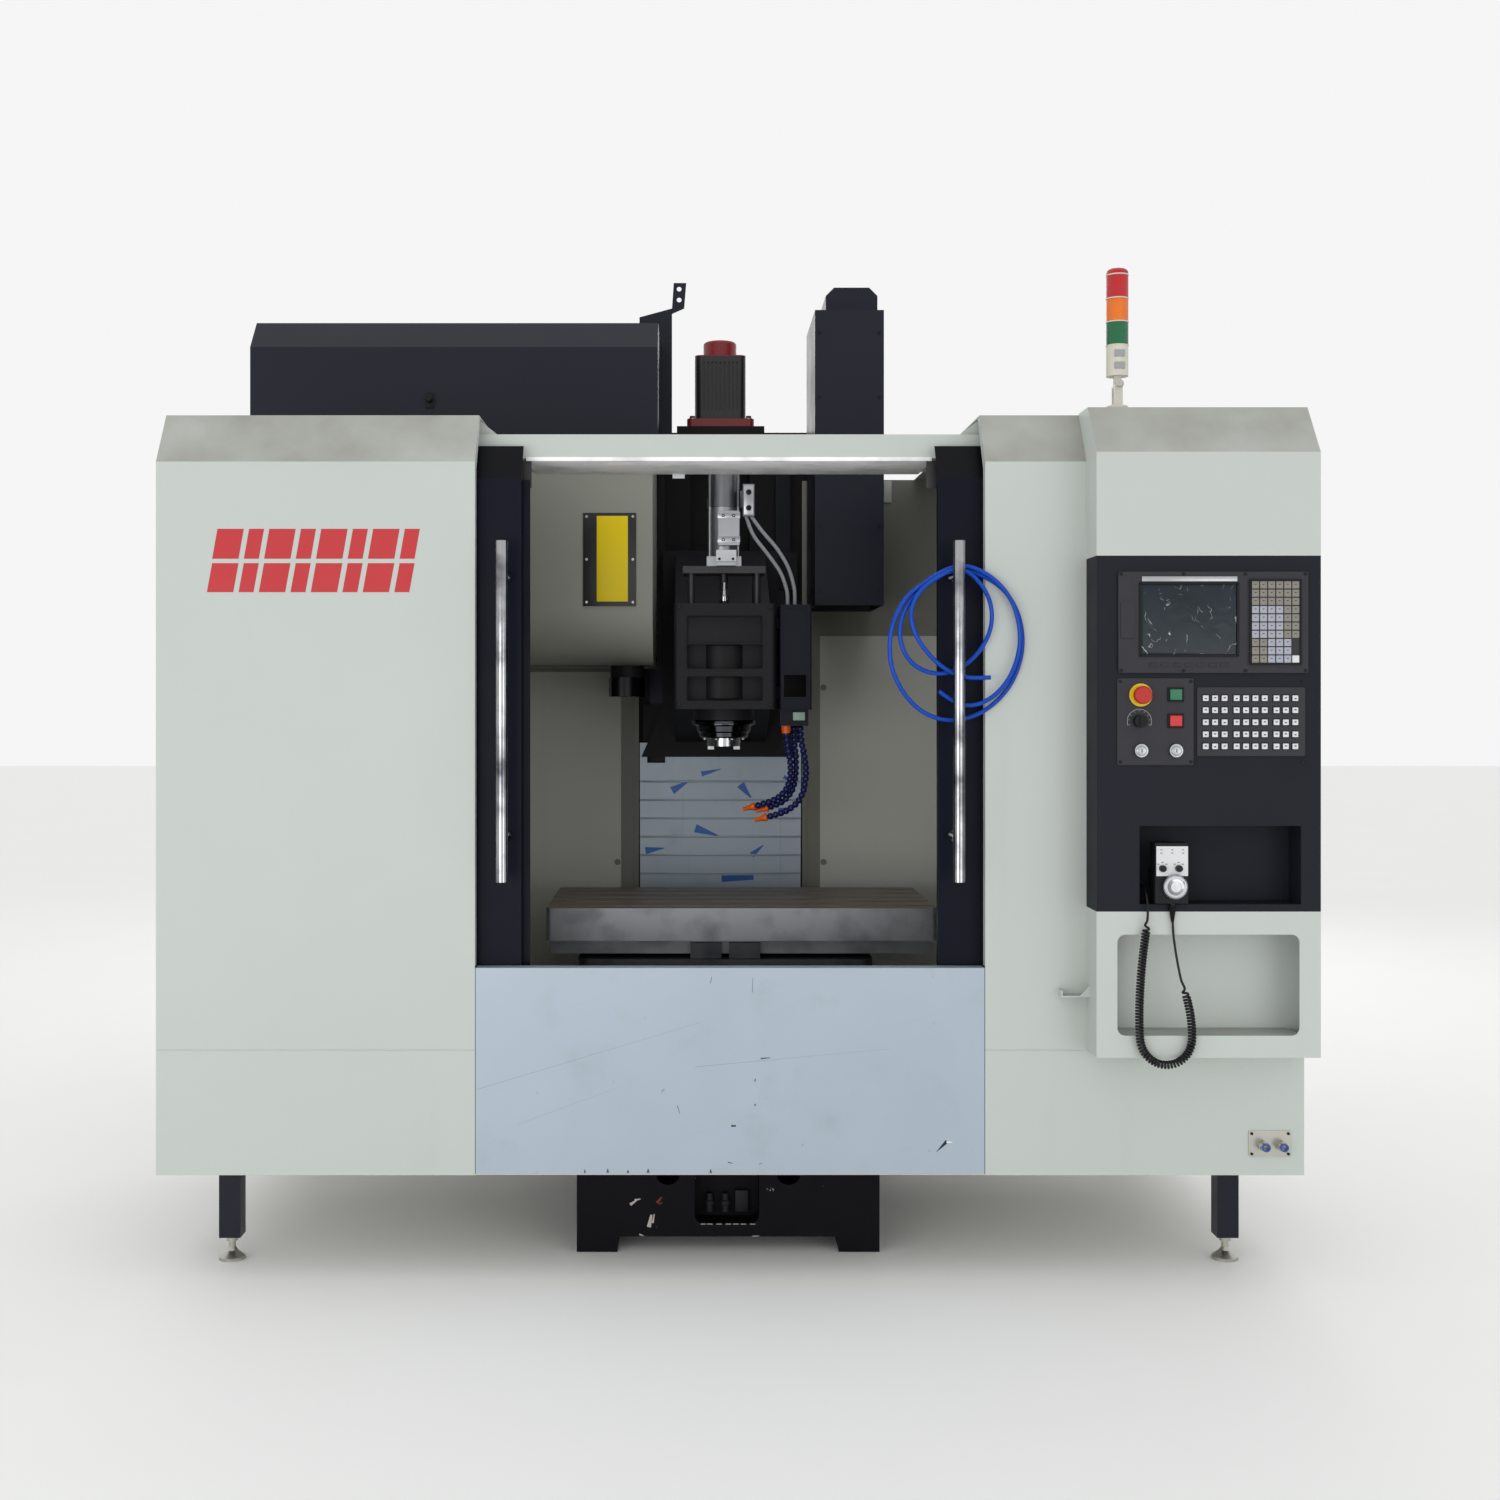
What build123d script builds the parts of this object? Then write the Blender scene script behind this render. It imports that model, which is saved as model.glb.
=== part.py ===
import math
import os

from build123d import *

# Vertical machining centre with a sliding-door enclosure, in millimetres.
# +X is to the operator's right, +Y is away from the operator, +Z is up and the floor is z = 0.
# x = 0 is the spindle's centre plane.

# Sheet metal and clearances
sheet = 3.0
run_gap = 0.3
bevel_ease = 0.6

# Enclosure covers on both sides of the doorway
doorway_half = 580.0
cover_half = 1305.0
cover_front = -1050.0
cover_bottom = 236.0
cover_bend_z = 1858.0
cover_top = 1976.0
cover_bevel = 80.0
cover_back = 230.0
doorway_lip = 28.0
seam_z = 521.0
seam_width = 4.0
seam_depth = 1.0

# Front apron below the doorway
apron_bottom = 239.0
apron_top = 707.0
door_setback = 40.0
apron_fold = door_setback - 4.0
apron_hem = 16.0

# Crossbeam over the doorway
beam_front = -935.0
beam_depth = 245.0
beam_bottom = 1881.0
beam_height = 56.0
beam_half = 600.0
soffit_half = 475.0
soffit_drop = 4.0
gusset_inner = 540.0
gusset_outer = 586.0

# Sliding doors, open at rest
door_width = 610.0
door_open = 478.0
door_bottom = 690.0
door_bend_z = 1824.0
door_top = 1907.0
door_bevel = 56.0
door_depth = 22.0
door_lip = 18.0
lip_setback = 2.0
window_margin = 110.0
window_low = 1000.0
window_high = 1700.0
window_corner = 25.0
window_lap = 14.0
pane = 6.0

# Door handles
handle_r = 13.5
handle_wall = 1.5
handle_x = 514.0
handle_reach = 85.0
handle_low = 907.0
handle_high = 1674.0
standoff_r = 6.0
standoff_low = 1005.0
standoff_high = 1599.0
standoff_base_r = 11.0
standoff_base = 3.0

# Coil of air hose that hangs on the right handle's upper standoff
hose_d = 10.0
coil_outer_x = 152.0
coil_outer_z = 174.0
coil_inner_x = 82.0
coil_inner_z = 105.0
coil_outer_drop = 165.0
coil_thick = 2.7 * hose_d
coil_gap = 2.0

# Base casting and its feet
base_half = 361.0
base_front = -854.0
base_top = 470.0
base_back = 860.0
base_foot = 37.0
foot_w = 97.0
foot_length = 130.0
seat_top = 560.0
seat_front = 300.0
anchor_r = 11.0
recess_left = -80.0
recess_right = 74.0
recess_bottom = 67.0
recess_height = 190.0
recess_depth = 70.0
port_x = 144.0
port_z = 190.0
port_r = 30.0

# Column
column_half = 270.0
column_front = 310.0
column_back = base_back
column_top_back = 760.0
column_top = 2130.0
channel_half = 90.0
channel_depth = 95.0
channel_top = 2040.0
motor_mount_half = 130.0
motor_mount_front = 180.0
motor_mount_height = 60.0

# Linear guide rails
rail_w = 45.0
rail_h = 40.0
y_rail_x = 230.0
y_rail_front = -840.0
y_rail_back = 225.0
z_rail_x = 190.0
z_rail_low = 600.0
z_rail_high = 2040.0
x_rail_y = 170.0

# Chip pans, legs and levelling feet
pan_inner = 375.0
pan_lip = 64.0
leg_w = 50.0
leg_wall = 3.0
leg_x = cover_half - 135.0
leg_front_y = -900.0
leg_back_y = 90.0
leg_bottom = 55.0
leg_plate = 6.0
foot_r = 31.5
foot_rim = 7.0
foot_neck_r = 13.0
foot_rod_r = 8.0
foot_nut_r = 13.0
foot_nut = 12.0
foot_rod_top = 110.0

# Rear splash wall
wall_front = 205.0
wall_half_gap = 262.0
wall_bolt_x = 307.0
wall_bolt_z = 833.0
wall_bolt_r = 9.0
wall_bolt_h = 6.0
wall_bolt_step = 520.0
loading_left = -600.0
loading_right = -430.0
loading_low = 1560.0
loading_high = 1865.0
loading_corner = 20.0

# Spindle head
spindle_y = -300.0
head_half = 133.0
head_front = -430.0
head_low = 1292.0
head_high = 1570.0
head_neck_y = -140.0
head_root_high = 1750.0
slide_half = 172.0
slide_front = 190.0
slide_low = 1192.0
slide_high = 1760.0
skirt_low = 1146.0
skirt_half_low = 236.0
skirt_back = 215.0
skirt_thick = 6.0
head_window_half = 100.0
window_depth = 45.0
upper_window_low = 1397.0
upper_window_mid = 1462.0
upper_window_high = 1539.0
lower_window_low = 1313.0
lower_window_high = 1379.0
block_w = 84.0
block_length = 110.0

# Spindle
nose_z = 1192.0
housing_r = 82.0
housing_h = 34.0
nose_r = 64.0
nose_step_r = 45.0
nose_step_h = 26.0
spindle_r = 40.0
spindle_fit = 0.05
taper_r = 22.2
taper_depth = 68.0
drawbar_r = 11.5

# Drawbar cylinder on top of the head
cyl_plate_z = 1654.0
cyl_plate_half = 110.0
cyl_plate_h = 19.0
pillar_x = 88.0
pillar_r = 10.0
cyl_r = 42.0
cyl_band_low = 1834.0
cyl_band_high = 1858.0
cyl_top = 1960.0
valve_left = -16.0
valve_right = 40.0
valve_low = 1727.0
valve_high = 1818.0
valve_step = 1713.0
cyl_block_h = 27.0
tie_rod = 38.0
tie_rod_r = 4.0

# Box on the head's right side, with the coolant manifold below it
side_box_left = 146.0
side_box_right = 229.0
side_box_low = 1290.0
side_box_high = 1567.0
side_box_front = -425.0
side_box_depth = 190.0
manifold_h = 42.0

# Telescopic cover of the column rails
cover_plates = 7
plate_half = 241.0
plate_height = 118.0
plate_pitch = 55.2
plate_sheet = 2.0
plate_layer = 4.0
plate_wiper = 8.0
top_plate_edge = 1070.0

# Saddle
saddle_half = 380.0
saddle_low = 545.0
saddle_high = 650.0
saddle_length = 470.0
saddle_corner = 30.0
car_w = 80.0
car_x = 50.0

# Table with T-slots
table_left = -459.0
table_length = 1000.0
table_width = 500.0
table_top = 784.0
table_thick = 84.0
slot_count = 5
slot_pitch = 100.0
slot_w = 18.0
slot_neck = 20.0
slot_head_w = 30.0
slot_head = 14.0
table_corner = 12.0

# Tool magazine
mag_left = -640.0
mag_right = -190.0
mag_front = -400.0
mag_low = 1410.0
mag_high = 2015.0
mag_corner = 150.0
mag_top_chamfer = 40.0
mag_y = -90.0
mag_z = 1712.0
disc_r = 225.0
disc_hub_r = 60.0
disc_x = -478.0
disc_thick = 16.0
pot_count = 16
pot_circle = 235.0
pot_r = 34.0
pot_bore_r = 22.0
pot_length = 100.0
pot_mouth_x = -590.0
pot_pivot_x = -486.0
pot_pivot_drop = 42.0
sign_left = -374.0
sign_right = -232.0
sign_low = 1563.0
sign_high = 1811.0
sign_thick = 2.0

# Tool-change arm and its gearbox
arm_x = -264.0
arm_y = -195.0
arm_z = 1325.0
arm_thick = 50.0
arm_reach = 284.0
arm_claw_r = 40.0
arm_grip_r = 24.0
arm_waist = 28.0
arm_hub_r = 50.0
arm_shaft_r = 27.0
gearbox_left = -332.0
gearbox_low = 1440.0
gearbox_high = 1700.0
gearbox_front = -330.0
gearbox_back = 190.0

# Drive motor of the vertical axis
motor_y = 290.0
motor_flange = 200.0
motor_flange_h = 24.0
motor_body = 152.0
motor_top = 2348.0
motor_cap_r = 50.0
motor_cap_top = motor_top + 51.0
motor_fins = 9
motor_fin_depth = 6.0

# Cable duct to the right of the column
duct_left = 257.0
duct_right = 449.0
duct_front = -150.0
duct_low = 1580.0
duct_high = 2402.0
duct_cap_left = 300.0
duct_cap_front = 20.0
duct_cap_top = 2504.0
duct_cap_chamfer = 24.0

# Dark guard behind the left cover's roof
guard_left = -cover_half - 2.0
guard_right = -180.0
guard_front = -185.0
guard_bend_z = 2292.0
guard_top = 2374.0
guard_bevel = 75.0
guard_back = 240.0
tab_y = 137.0
tab_neck = guard_top + 96.0
tab_w = 42.0
tab_hole_r = 7.0
end_plate_w = 60.0
end_plate_right = guard_right + 36.0
end_plate_in = 20.0
tab_top = guard_top + 171.0

# Control unit in front of the right cover
unit_right = cover_half + 2.0
unit_left = unit_right - 497.0
unit_depth = 100.0
hood_bottom = 1636.0
hood_bend_z = 1866.0
hood_top = 1979.0
hood_bevel = 85.0
case_bottom = 847.0
tray_bottom = 523.0
tray_left = unit_left + 46.0
tray_right = unit_left + 450.0
tray_low = 572.0
tray_high = 796.0
tray_corner = 18.0
bracket_left = unit_left - 64.0
bracket_low = 625.0
bracket_high = 673.0
recess_x0 = unit_left + 95.0
recess_x1 = unit_left + 453.0
recess_z0 = 863.0
recess_z1 = 1037.0
recess_in = 80.0

# Plates, keys and buttons of the panel
plate_t = 3.0
plate_corner = 4.0
screen_left = unit_left + 47.0
screen_right = unit_left + 467.0
screen_low = 1376.0
screen_high = 1600.0
lcd_left = unit_left + 97.0
lcd_right = unit_left + 309.0
lcd_low = 1416.0
lcd_high = 1572.0
mdi_left = unit_left + 334.0
mdi_right = unit_left + 453.0
mdi_low = 1392.0
mdi_high = 1585.0
mdi_columns = 6
mdi_rows = 10
mdi_pitch_x = 17.8
mdi_pitch_z = 18.2
mdi_key = 13.5
switch_left = unit_left + 45.0
switch_right = unit_left + 214.0
switch_low = 1172.0
switch_high = 1364.0
keys_left = unit_left + 222.0
keys_right = unit_left + 461.0
keys_low = 1192.0
keys_high = 1344.0
key_size = 12.0
key_rise = 4.0
plate_raise = 3.0
keypad_raise = 2.0
card_left = unit_left + 52.0
card_right = unit_left + 83.0
card_low = 1453.0
card_high = 1534.0
strip_gap = 5.0
strip_high = 17.0
soft_key_z = 1394.0
soft_key_half = 9.0
soft_key_tall = 4.0
mdi_key_rise = 3.0
soft_key_count = 7
soft_key_pitch = 26.0
estop_x = unit_left + 97.0
estop_z = 1327.0
estop_r = 20.0
estop_ring_r = 24.0
estop_ring = 0.8
front_reach = 1180.0
button_x = unit_left + 174.0
start_z = 1328.0
stop_z = 1270.0
button_w = 27.0
button_h = 24.0
button_rise = 7.0
stem_r = 7.0
stem_fit = 0.3
knob_x = unit_left + 94.0
knob_z = 1269.0
knob_r = 14.0
knob_rise = 18.0
round_key_z = 1204.0
round_key_r = 15.0
round_key_rise = 8.0

# Hand pendant in the recess
pendant_left = unit_left + 126.0
pendant_right = unit_left + 202.0
pendant_low = 866.0
pendant_high = 1000.0
pendant_front = -1162.0
pendant_thick = 45.0
pendant_knob_in = 16.0
pendant_knob_out = 52.0
pendant_knob_z = 944.0
pendant_knob_r = 7.0
pendant_knob_rise = 12.0
wheel_x = unit_left + 169.0
wheel_z = 904.0
wheel_r = 26.0
wheel_rise = 13.0
gland_r = 6.0
gland_h = 14.0
cord_d = 7.0
curl_d = 20.0
socket_x = unit_left + 111.0
socket_z = 902.0
socket_r = 8.0
socket_rise = 12.0

# Air inlet plate at the right cover's foot
air_right = cover_half - 30.0
air_left = air_right - 97.0
air_low = 278.0
air_high = 338.0
air_z = 305.0
air_plate = 2.0
air_x = (air_right - 65.0, air_right - 24.0)
air_r = 8.0
air_rise = 24.0
air_collar = 10.0
air_bore = 18.0

# Signal tower on the hood
tower_x = unit_left + 82.0
tower_y = -1000.0
tower_r = 25.0
tower_foot_h = 14.0
tower_pivot_z = 2034.0
tower_body_low = 2060.0
tower_body_high = 2130.0
tower_lens_h = 54.0
tower_cap_h = 15.0

# Electrical cabinet behind the column
cabinet_half = 420.0
cabinet_low = 300.0
cabinet_high = 1900.0
cabinet_door = 24.0
cabinet_latch = 6.0
drive_count = 4
drive_left = -290.0
drive_pitch = 150.0
drive_w = 110.0
drive_low = 1150.0
drive_high = 1500.0
drive_depth = 160.0
row_half = 300.0
row_depth = 90.0
row_h = 110.0
row_z = (560.0, 820.0)
hinge_r = 9.0
hinge_out = 10.0
hinge_pin_r = 4.0
hinge_knuckle = 45.0
hinge_z = (480.0, 1650.0)
latch_low = 1050.0
latch_high = 1200.0

# Derived places
cover_in = cover_front + sheet
door_front = cover_front + door_setback
unit_front = cover_front - unit_depth
plate_front = unit_front - plate_t
screen_face = plate_front - plate_raise
mdi_face = screen_face - keypad_raise
handle_y = door_front - handle_reach
beam_back = beam_front + beam_depth
beam_top = beam_bottom + beam_height
table_mid_x = table_left + table_length / 2
pot_z = mag_z - pot_circle
pot_pivot_z = pot_z - pot_pivot_drop


def box(x0, x1, y0, y1, z0, z1, mode=Mode.ADD):
    """A box between two corners, in the part that is being built."""
    with Locations(((x0 + x1) / 2, (y0 + y1) / 2, (z0 + z1) / 2)):
        Box(x1 - x0, y1 - y0, z1 - z0, mode=mode)


def along_x(points, x0, x1, mode=Mode.ADD):
    """A Y-Z outline extruded from x0 to x1."""
    with BuildSketch(Plane.YZ.offset(x0)) as outline:
        with BuildLine():
            Polyline(*points, close=True)
        make_face()
    extrude(outline.sketch, amount=x1 - x0, mode=mode)


def along_y(points, y0, y1, mode=Mode.ADD):
    """An X-Z outline extruded from y0 to y1."""
    with BuildSketch(Plane.XZ.offset(-y1)) as outline:
        with BuildLine():
            Polyline(*points, close=True)
        make_face()
    extrude(outline.sketch, amount=y1 - y0, mode=mode)


def round_rect_y(x0, x1, z0, z1, corner, y0, y1, mode=Mode.ADD):
    """A rounded rectangle in X-Z extruded from y0 to y1."""
    with BuildSketch(Plane.XZ.offset(-y1)) as outline:
        with Locations(((x0 + x1) / 2, (z0 + z1) / 2)):
            RectangleRounded(x1 - x0, z1 - z0, corner)
    extrude(outline.sketch, amount=y1 - y0, mode=mode)


def rod_y(x, z, r, y0, y1, mode=Mode.ADD):
    """A round bar along Y."""
    with BuildSketch(Plane.XZ.offset(-y1)) as outline:
        with Locations((x, z)):
            Circle(r)
    extrude(outline.sketch, amount=y1 - y0, mode=mode)


def rod_z(x, y, r, z0, z1, mode=Mode.ADD):
    """A round bar along Z."""
    with BuildSketch(Plane.XY.offset(z0)) as outline:
        with Locations((x, y)):
            Circle(r)
    extrude(outline.sketch, amount=z1 - z0, mode=mode)


def rod_x(y, z, r, x0, x1, mode=Mode.ADD):
    """A round bar along X."""
    with BuildSketch(Plane.YZ.offset(x0)) as outline:
        with Locations((y, z)):
            Circle(r)
    extrude(outline.sketch, amount=x1 - x0, mode=mode)


def turned_z(points, x, y):
    """A radius-height outline turned about the vertical line through x, y."""
    with BuildSketch(Plane.XZ.offset(-y)) as outline:
        with BuildLine():
            Polyline(*[(x + r, z) for r, z in points], close=True)
        make_face()
    revolve(outline.sketch, axis=Axis((x, y, 0), (0, 0, 1)))


def keep(part, name):
    """Labels a finished piece and writes its file."""
    part.label = name
    export_step(part, f"parts/{name}.step")


os.makedirs("parts", exist_ok=True)


# Base casting: a long bed on pads, with the column's seat at the back
with BuildPart() as base_casting:
    along_x(
        [
            (base_front, base_foot),
            (base_back, base_foot),
            (base_back, seat_top),
            (seat_front, seat_top),
            (seat_front, base_top),
            (base_front, base_top),
        ],
        -base_half,
        base_half,
    )
    bed_sides = base_casting.edges().filter_by(Axis.Y).group_by(Axis.Z)[-2]
    chamfer(bed_sides, length=30)
    for foot_x in (-base_half, base_half - foot_w):
        for foot_y in (base_front, (base_front + base_back - foot_length) / 2, base_back - foot_length):
            box(foot_x, foot_x + foot_w, foot_y, foot_y + foot_length, 0, base_foot)
            rod_z(foot_x + foot_w / 2, foot_y + foot_length / 2, anchor_r, 0, base_foot, Mode.SUBTRACT)
    round_rect_y(
        recess_left,
        recess_right,
        recess_bottom,
        recess_bottom + recess_height,
        22,
        base_front,
        base_front + recess_depth,
        Mode.SUBTRACT,
    )
    for side in (-1, 1):
        rod_y(side * port_x, port_z, port_r, base_front, base_front + recess_depth, Mode.SUBTRACT)
keep(base_casting.part, "base_casting")

# Column: a tapered casting with a channel down its front and the motor's seat on top
with BuildPart() as column:
    along_x(
        [
            (column_front, seat_top),
            (column_back, seat_top),
            (column_back, seat_top + 260),
            (column_top_back, column_top),
            (column_front, column_top),
        ],
        -column_half,
        column_half,
    )
    box(
        -channel_half,
        channel_half,
        column_front,
        column_front + channel_depth,
        seat_top,
        channel_top,
        Mode.SUBTRACT,
    )
    along_x(
        [
            (motor_mount_front, column_top),
            (motor_mount_front, column_top - motor_mount_height / 2),
            (motor_mount_front + motor_mount_height, column_top - motor_mount_height),
            (column_front, column_top - motor_mount_height),
            (column_front, column_top),
        ],
        -motor_mount_half,
        motor_mount_half,
    )
keep(column.part, "column")

# Linear guide rails on the base and on the column
with BuildPart() as way_rails:
    for side in (-1, 1):
        rail_x = side * y_rail_x
        box(
            rail_x - rail_w / 2,
            rail_x + rail_w / 2,
            y_rail_front,
            y_rail_back,
            base_top,
            base_top + rail_h,
        )
        rail_x = side * z_rail_x
        box(
            rail_x - rail_w / 2,
            rail_x + rail_w / 2,
            column_front - rail_h,
            column_front,
            z_rail_low,
            z_rail_high,
        )
keep(way_rails.part, "way_rails")

# Chip pans on both sides of the base, folded from sheet
with BuildPart() as chip_pan:
    for side in (-1, 1):
        pan_outer = cover_half - sheet
        x0, x1 = sorted((side * pan_inner, side * pan_outer))
        box(x0, x1, cover_in, wall_front, cover_bottom, cover_bottom + pan_lip)
        box(
            x0 + sheet,
            x1 - sheet,
            cover_in + sheet,
            wall_front - sheet,
            cover_bottom + sheet,
            cover_bottom + pan_lip,
            Mode.SUBTRACT,
        )
    box(-pan_inner, pan_inner, cover_in, base_front - sheet, cover_bottom, cover_bottom + pan_lip)
    box(
        -pan_inner - sheet,
        pan_inner + sheet,
        cover_in + sheet,
        base_front - 2 * sheet,
        cover_bottom + sheet,
        cover_bottom + pan_lip,
        Mode.SUBTRACT,
    )
keep(chip_pan.part, "chip_pan")

# Square tube legs under the pans
leg_spots = [(side * leg_x, y) for side in (-1, 1) for y in (leg_front_y, leg_back_y)]
with BuildPart() as cover_legs:
    for x, y in leg_spots:
        half = leg_w / 2
        inner = half - leg_wall
        box(x - half, x + half, y - half, y + half, leg_bottom, cover_bottom)
        box(x - inner, x + inner, y - inner, y + inner, leg_bottom + leg_plate, cover_bottom, Mode.SUBTRACT)
        rod_z(x, y, foot_rod_r + run_gap, leg_bottom, leg_bottom + leg_plate, Mode.SUBTRACT)
keep(cover_legs.part, "cover_legs")

# Levelling feet: a pad, a neck, a lock nut and a rod that goes up into the tube
with BuildPart() as levelling_feet:
    for x, y in leg_spots:
        turned_z(
            [
                (0, 0),
                (foot_r, 0),
                (foot_r, foot_rim),
                (foot_neck_r, foot_rim + 14),
                (foot_rod_r, foot_rim + 22),
                (foot_rod_r, leg_bottom - foot_nut),
                (foot_nut_r, leg_bottom - foot_nut),
                (foot_nut_r, leg_bottom),
                (foot_rod_r, leg_bottom),
                (foot_rod_r, foot_rod_top),
                (0, foot_rod_top),
            ],
            x,
            y,
        )
keep(levelling_feet.part, "levelling_feet")


def cover_outline(inset, back, bottom):
    """The cover's Y-Z section, inset by a sheet's thickness or by nothing."""
    slant = inset * bevel_ease
    return [
        (cover_front + inset, bottom),
        (cover_front + inset, cover_bend_z - slant),
        (cover_front + cover_bevel + slant, cover_top - inset),
        (back, cover_top - inset),
        (back, bottom),
    ]


def side_cover(side, name):
    """A folded cover: front panel, bevel, roof and outer side, open to the work space."""
    inner = doorway_half
    outer = cover_half
    with BuildPart() as cover:
        x0, x1 = sorted((side * inner, side * outer))
        along_x(cover_outline(0, cover_back, cover_bottom), x0, x1)
        x0, x1 = sorted((side * (inner - 1), side * (outer - sheet)))
        along_x(cover_outline(sheet, cover_back + 1, cover_bottom - 1), x0, x1, Mode.SUBTRACT)
        x0, x1 = sorted((side * inner, side * (inner + sheet)))
        along_x(
            [
                (cover_front + sheet, apron_top + sheet),
                (cover_front + sheet, cover_bend_z),
                (cover_front + cover_bevel, cover_top - sheet),
                (cover_front + cover_bevel + doorway_lip, cover_top - sheet),
                (cover_front + doorway_lip, cover_bend_z - doorway_lip / 2),
                (cover_front + doorway_lip, apron_top + sheet),
            ],
            x0,
            x1,
        )
        x0, x1 = sorted((side * inner, side * outer))
        box(
            x0,
            x1,
            cover_front,
            cover_front + seam_depth,
            seam_z - seam_width / 2,
            seam_z + seam_width / 2,
            Mode.SUBTRACT,
        )
        if side < 0:
            box(
                mag_left - run_gap,
                -doorway_half + 1,
                mag_front - run_gap,
                cover_back + 1,
                cover_top - 2 * sheet,
                cover_top + 1,
                Mode.SUBTRACT,
            )
    keep(cover.part, name)


side_cover(-1, "left_cover")
side_cover(1, "right_cover")

# Front apron with a bright folded top edge
with BuildPart() as front_apron:
    along_x(
        [
            (cover_front, apron_bottom),
            (cover_front, apron_top),
            (cover_front + apron_fold, apron_top),
            (cover_front + apron_fold, apron_top - apron_hem),
            (cover_front + apron_fold - sheet, apron_top - apron_hem),
            (cover_front + apron_fold - sheet, apron_top - sheet),
            (cover_in, apron_top - sheet),
            (cover_in, apron_bottom),
        ],
        -doorway_half,
        doorway_half,
    )
keep(front_apron.part, "front_apron")

# Crossbeam: a hollow channel between the covers, with a soffit plate and end gussets
with BuildPart() as crossbeam:
    box(-beam_half, beam_half, beam_front, beam_back, beam_bottom, beam_top)
    box(
        -beam_half - 1,
        beam_half + 1,
        beam_front + sheet,
        beam_back - sheet,
        beam_bottom + sheet,
        beam_top - sheet,
        Mode.SUBTRACT,
    )
    box(-soffit_half, soffit_half, beam_front, beam_back, beam_bottom - soffit_drop, beam_bottom)
    for side in (-1, 1):
        along_y(
            [
                (side * gusset_inner, beam_top),
                (side * gusset_outer, cover_top - sheet),
                (side * beam_half, cover_top - sheet),
                (side * beam_half, beam_top),
            ],
            beam_front + 20,
            beam_back - 20,
        )
keep(crossbeam.part, "crossbeam")

# Door track: an angle behind the apron and the covers, with the strip that the doors roll on
track_half = door_open + door_width + 2
track_top = door_bottom - run_gap
with BuildPart() as door_track:
    along_x(
        [
            (cover_in, track_top - 50),
            (cover_in + sheet, track_top - 50),
            (cover_in + sheet, track_top - 13),
            (door_front + door_depth, track_top - 13),
            (door_front + door_depth, track_top - 10),
            (door_front + 16, track_top - 10),
            (door_front + 16, track_top),
            (door_front + 6, track_top),
            (door_front + 6, track_top - 10),
            (cover_in, track_top - 10),
        ],
        -track_half,
        track_half,
    )
keep(door_track.part, "door_track")

# Rear splash wall: two sheets beside the column's cover, around the base.
# The left one has the opening through which tools are put into the magazine.
with BuildPart() as back_wall:
    for side in (-1, 1):
        wall_outer = cover_half - sheet
        along_y(
            [
                (side * wall_half_gap, cover_top - sheet),
                (side * wall_outer, cover_top - sheet),
                (side * wall_outer, cover_bottom + sheet),
                (side * (base_half + run_gap), cover_bottom + sheet),
                (side * (base_half + run_gap), base_top + run_gap),
                (side * wall_half_gap, base_top + run_gap),
            ],
            wall_front,
            wall_front + sheet,
        )
        for bolt_z in (wall_bolt_z, wall_bolt_z + wall_bolt_step):
            rod_y(side * wall_bolt_x, bolt_z, wall_bolt_r, wall_front - wall_bolt_h, wall_front)
    round_rect_y(
        loading_left,
        loading_right,
        loading_low,
        loading_high,
        loading_corner,
        wall_front,
        wall_front + sheet,
        Mode.SUBTRACT,
    )
keep(back_wall.part, "back_wall")


def guard_outline(inset, bottom):
    """The rear guard's Y-Z section."""
    slant = inset * bevel_ease
    return [
        (guard_front + inset, bottom),
        (guard_front + inset, guard_bend_z - slant),
        (guard_front + guard_bevel + slant, guard_top - inset),
        (guard_back - inset, guard_top - inset),
        (guard_back - inset, bottom),
    ]


# Rear guard over the tool magazine, with a lifting tab on its end plate
with BuildPart() as rear_guard:
    along_x(guard_outline(0, cover_top), guard_left, guard_right)
    along_x(guard_outline(sheet, cover_top - 1), guard_left + sheet, guard_right - sheet, Mode.SUBTRACT)
    box(
        mag_left - run_gap,
        guard_right + 1,
        guard_front - 1,
        guard_back + 1,
        cover_top - 1,
        mag_high,
        Mode.SUBTRACT,
    )
    along_y(
        [
            (guard_right - end_plate_w, mag_high + end_plate_in),
            (guard_right - end_plate_w, tab_neck - 26),
            (end_plate_right, tab_neck),
            (end_plate_right + 5, tab_top),
            (end_plate_right + tab_w, tab_top),
            (end_plate_right + tab_w - 6, tab_neck),
            (end_plate_right, tab_neck - 16),
            (end_plate_right, mag_high + end_plate_in),
        ],
        tab_y,
        tab_y + sheet,
    )
    for hole_z in (tab_top - 18, tab_top - 50):
        rod_y(end_plate_right + tab_w / 2, hole_z, tab_hole_r, tab_y, tab_y + sheet, Mode.SUBTRACT)
keep(rear_guard.part, "rear_guard")

# Cable duct with a chamfered cap behind its top
with BuildPart() as cable_duct:
    box(duct_left, duct_right, duct_front, wall_front, duct_low, duct_high)
    with BuildSketch(Plane.XZ.offset(-wall_front)) as cap_outline:
        with BuildLine():
            Polyline(
                (duct_cap_left, duct_high),
                (duct_cap_left, duct_cap_top - duct_cap_chamfer),
                (duct_cap_left + duct_cap_chamfer, duct_cap_top),
                (duct_right - duct_cap_chamfer, duct_cap_top),
                (duct_right, duct_cap_top - duct_cap_chamfer),
                (duct_right, duct_high),
                close=True,
            )
        make_face()
    extrude(amount=wall_front - duct_cap_front)
    box(
        duct_left + sheet,
        duct_right - sheet,
        duct_front + sheet,
        wall_front - sheet,
        duct_low - 1,
        duct_high - sheet,
        Mode.SUBTRACT,
    )
keep(cable_duct.part, "cable_duct")

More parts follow.
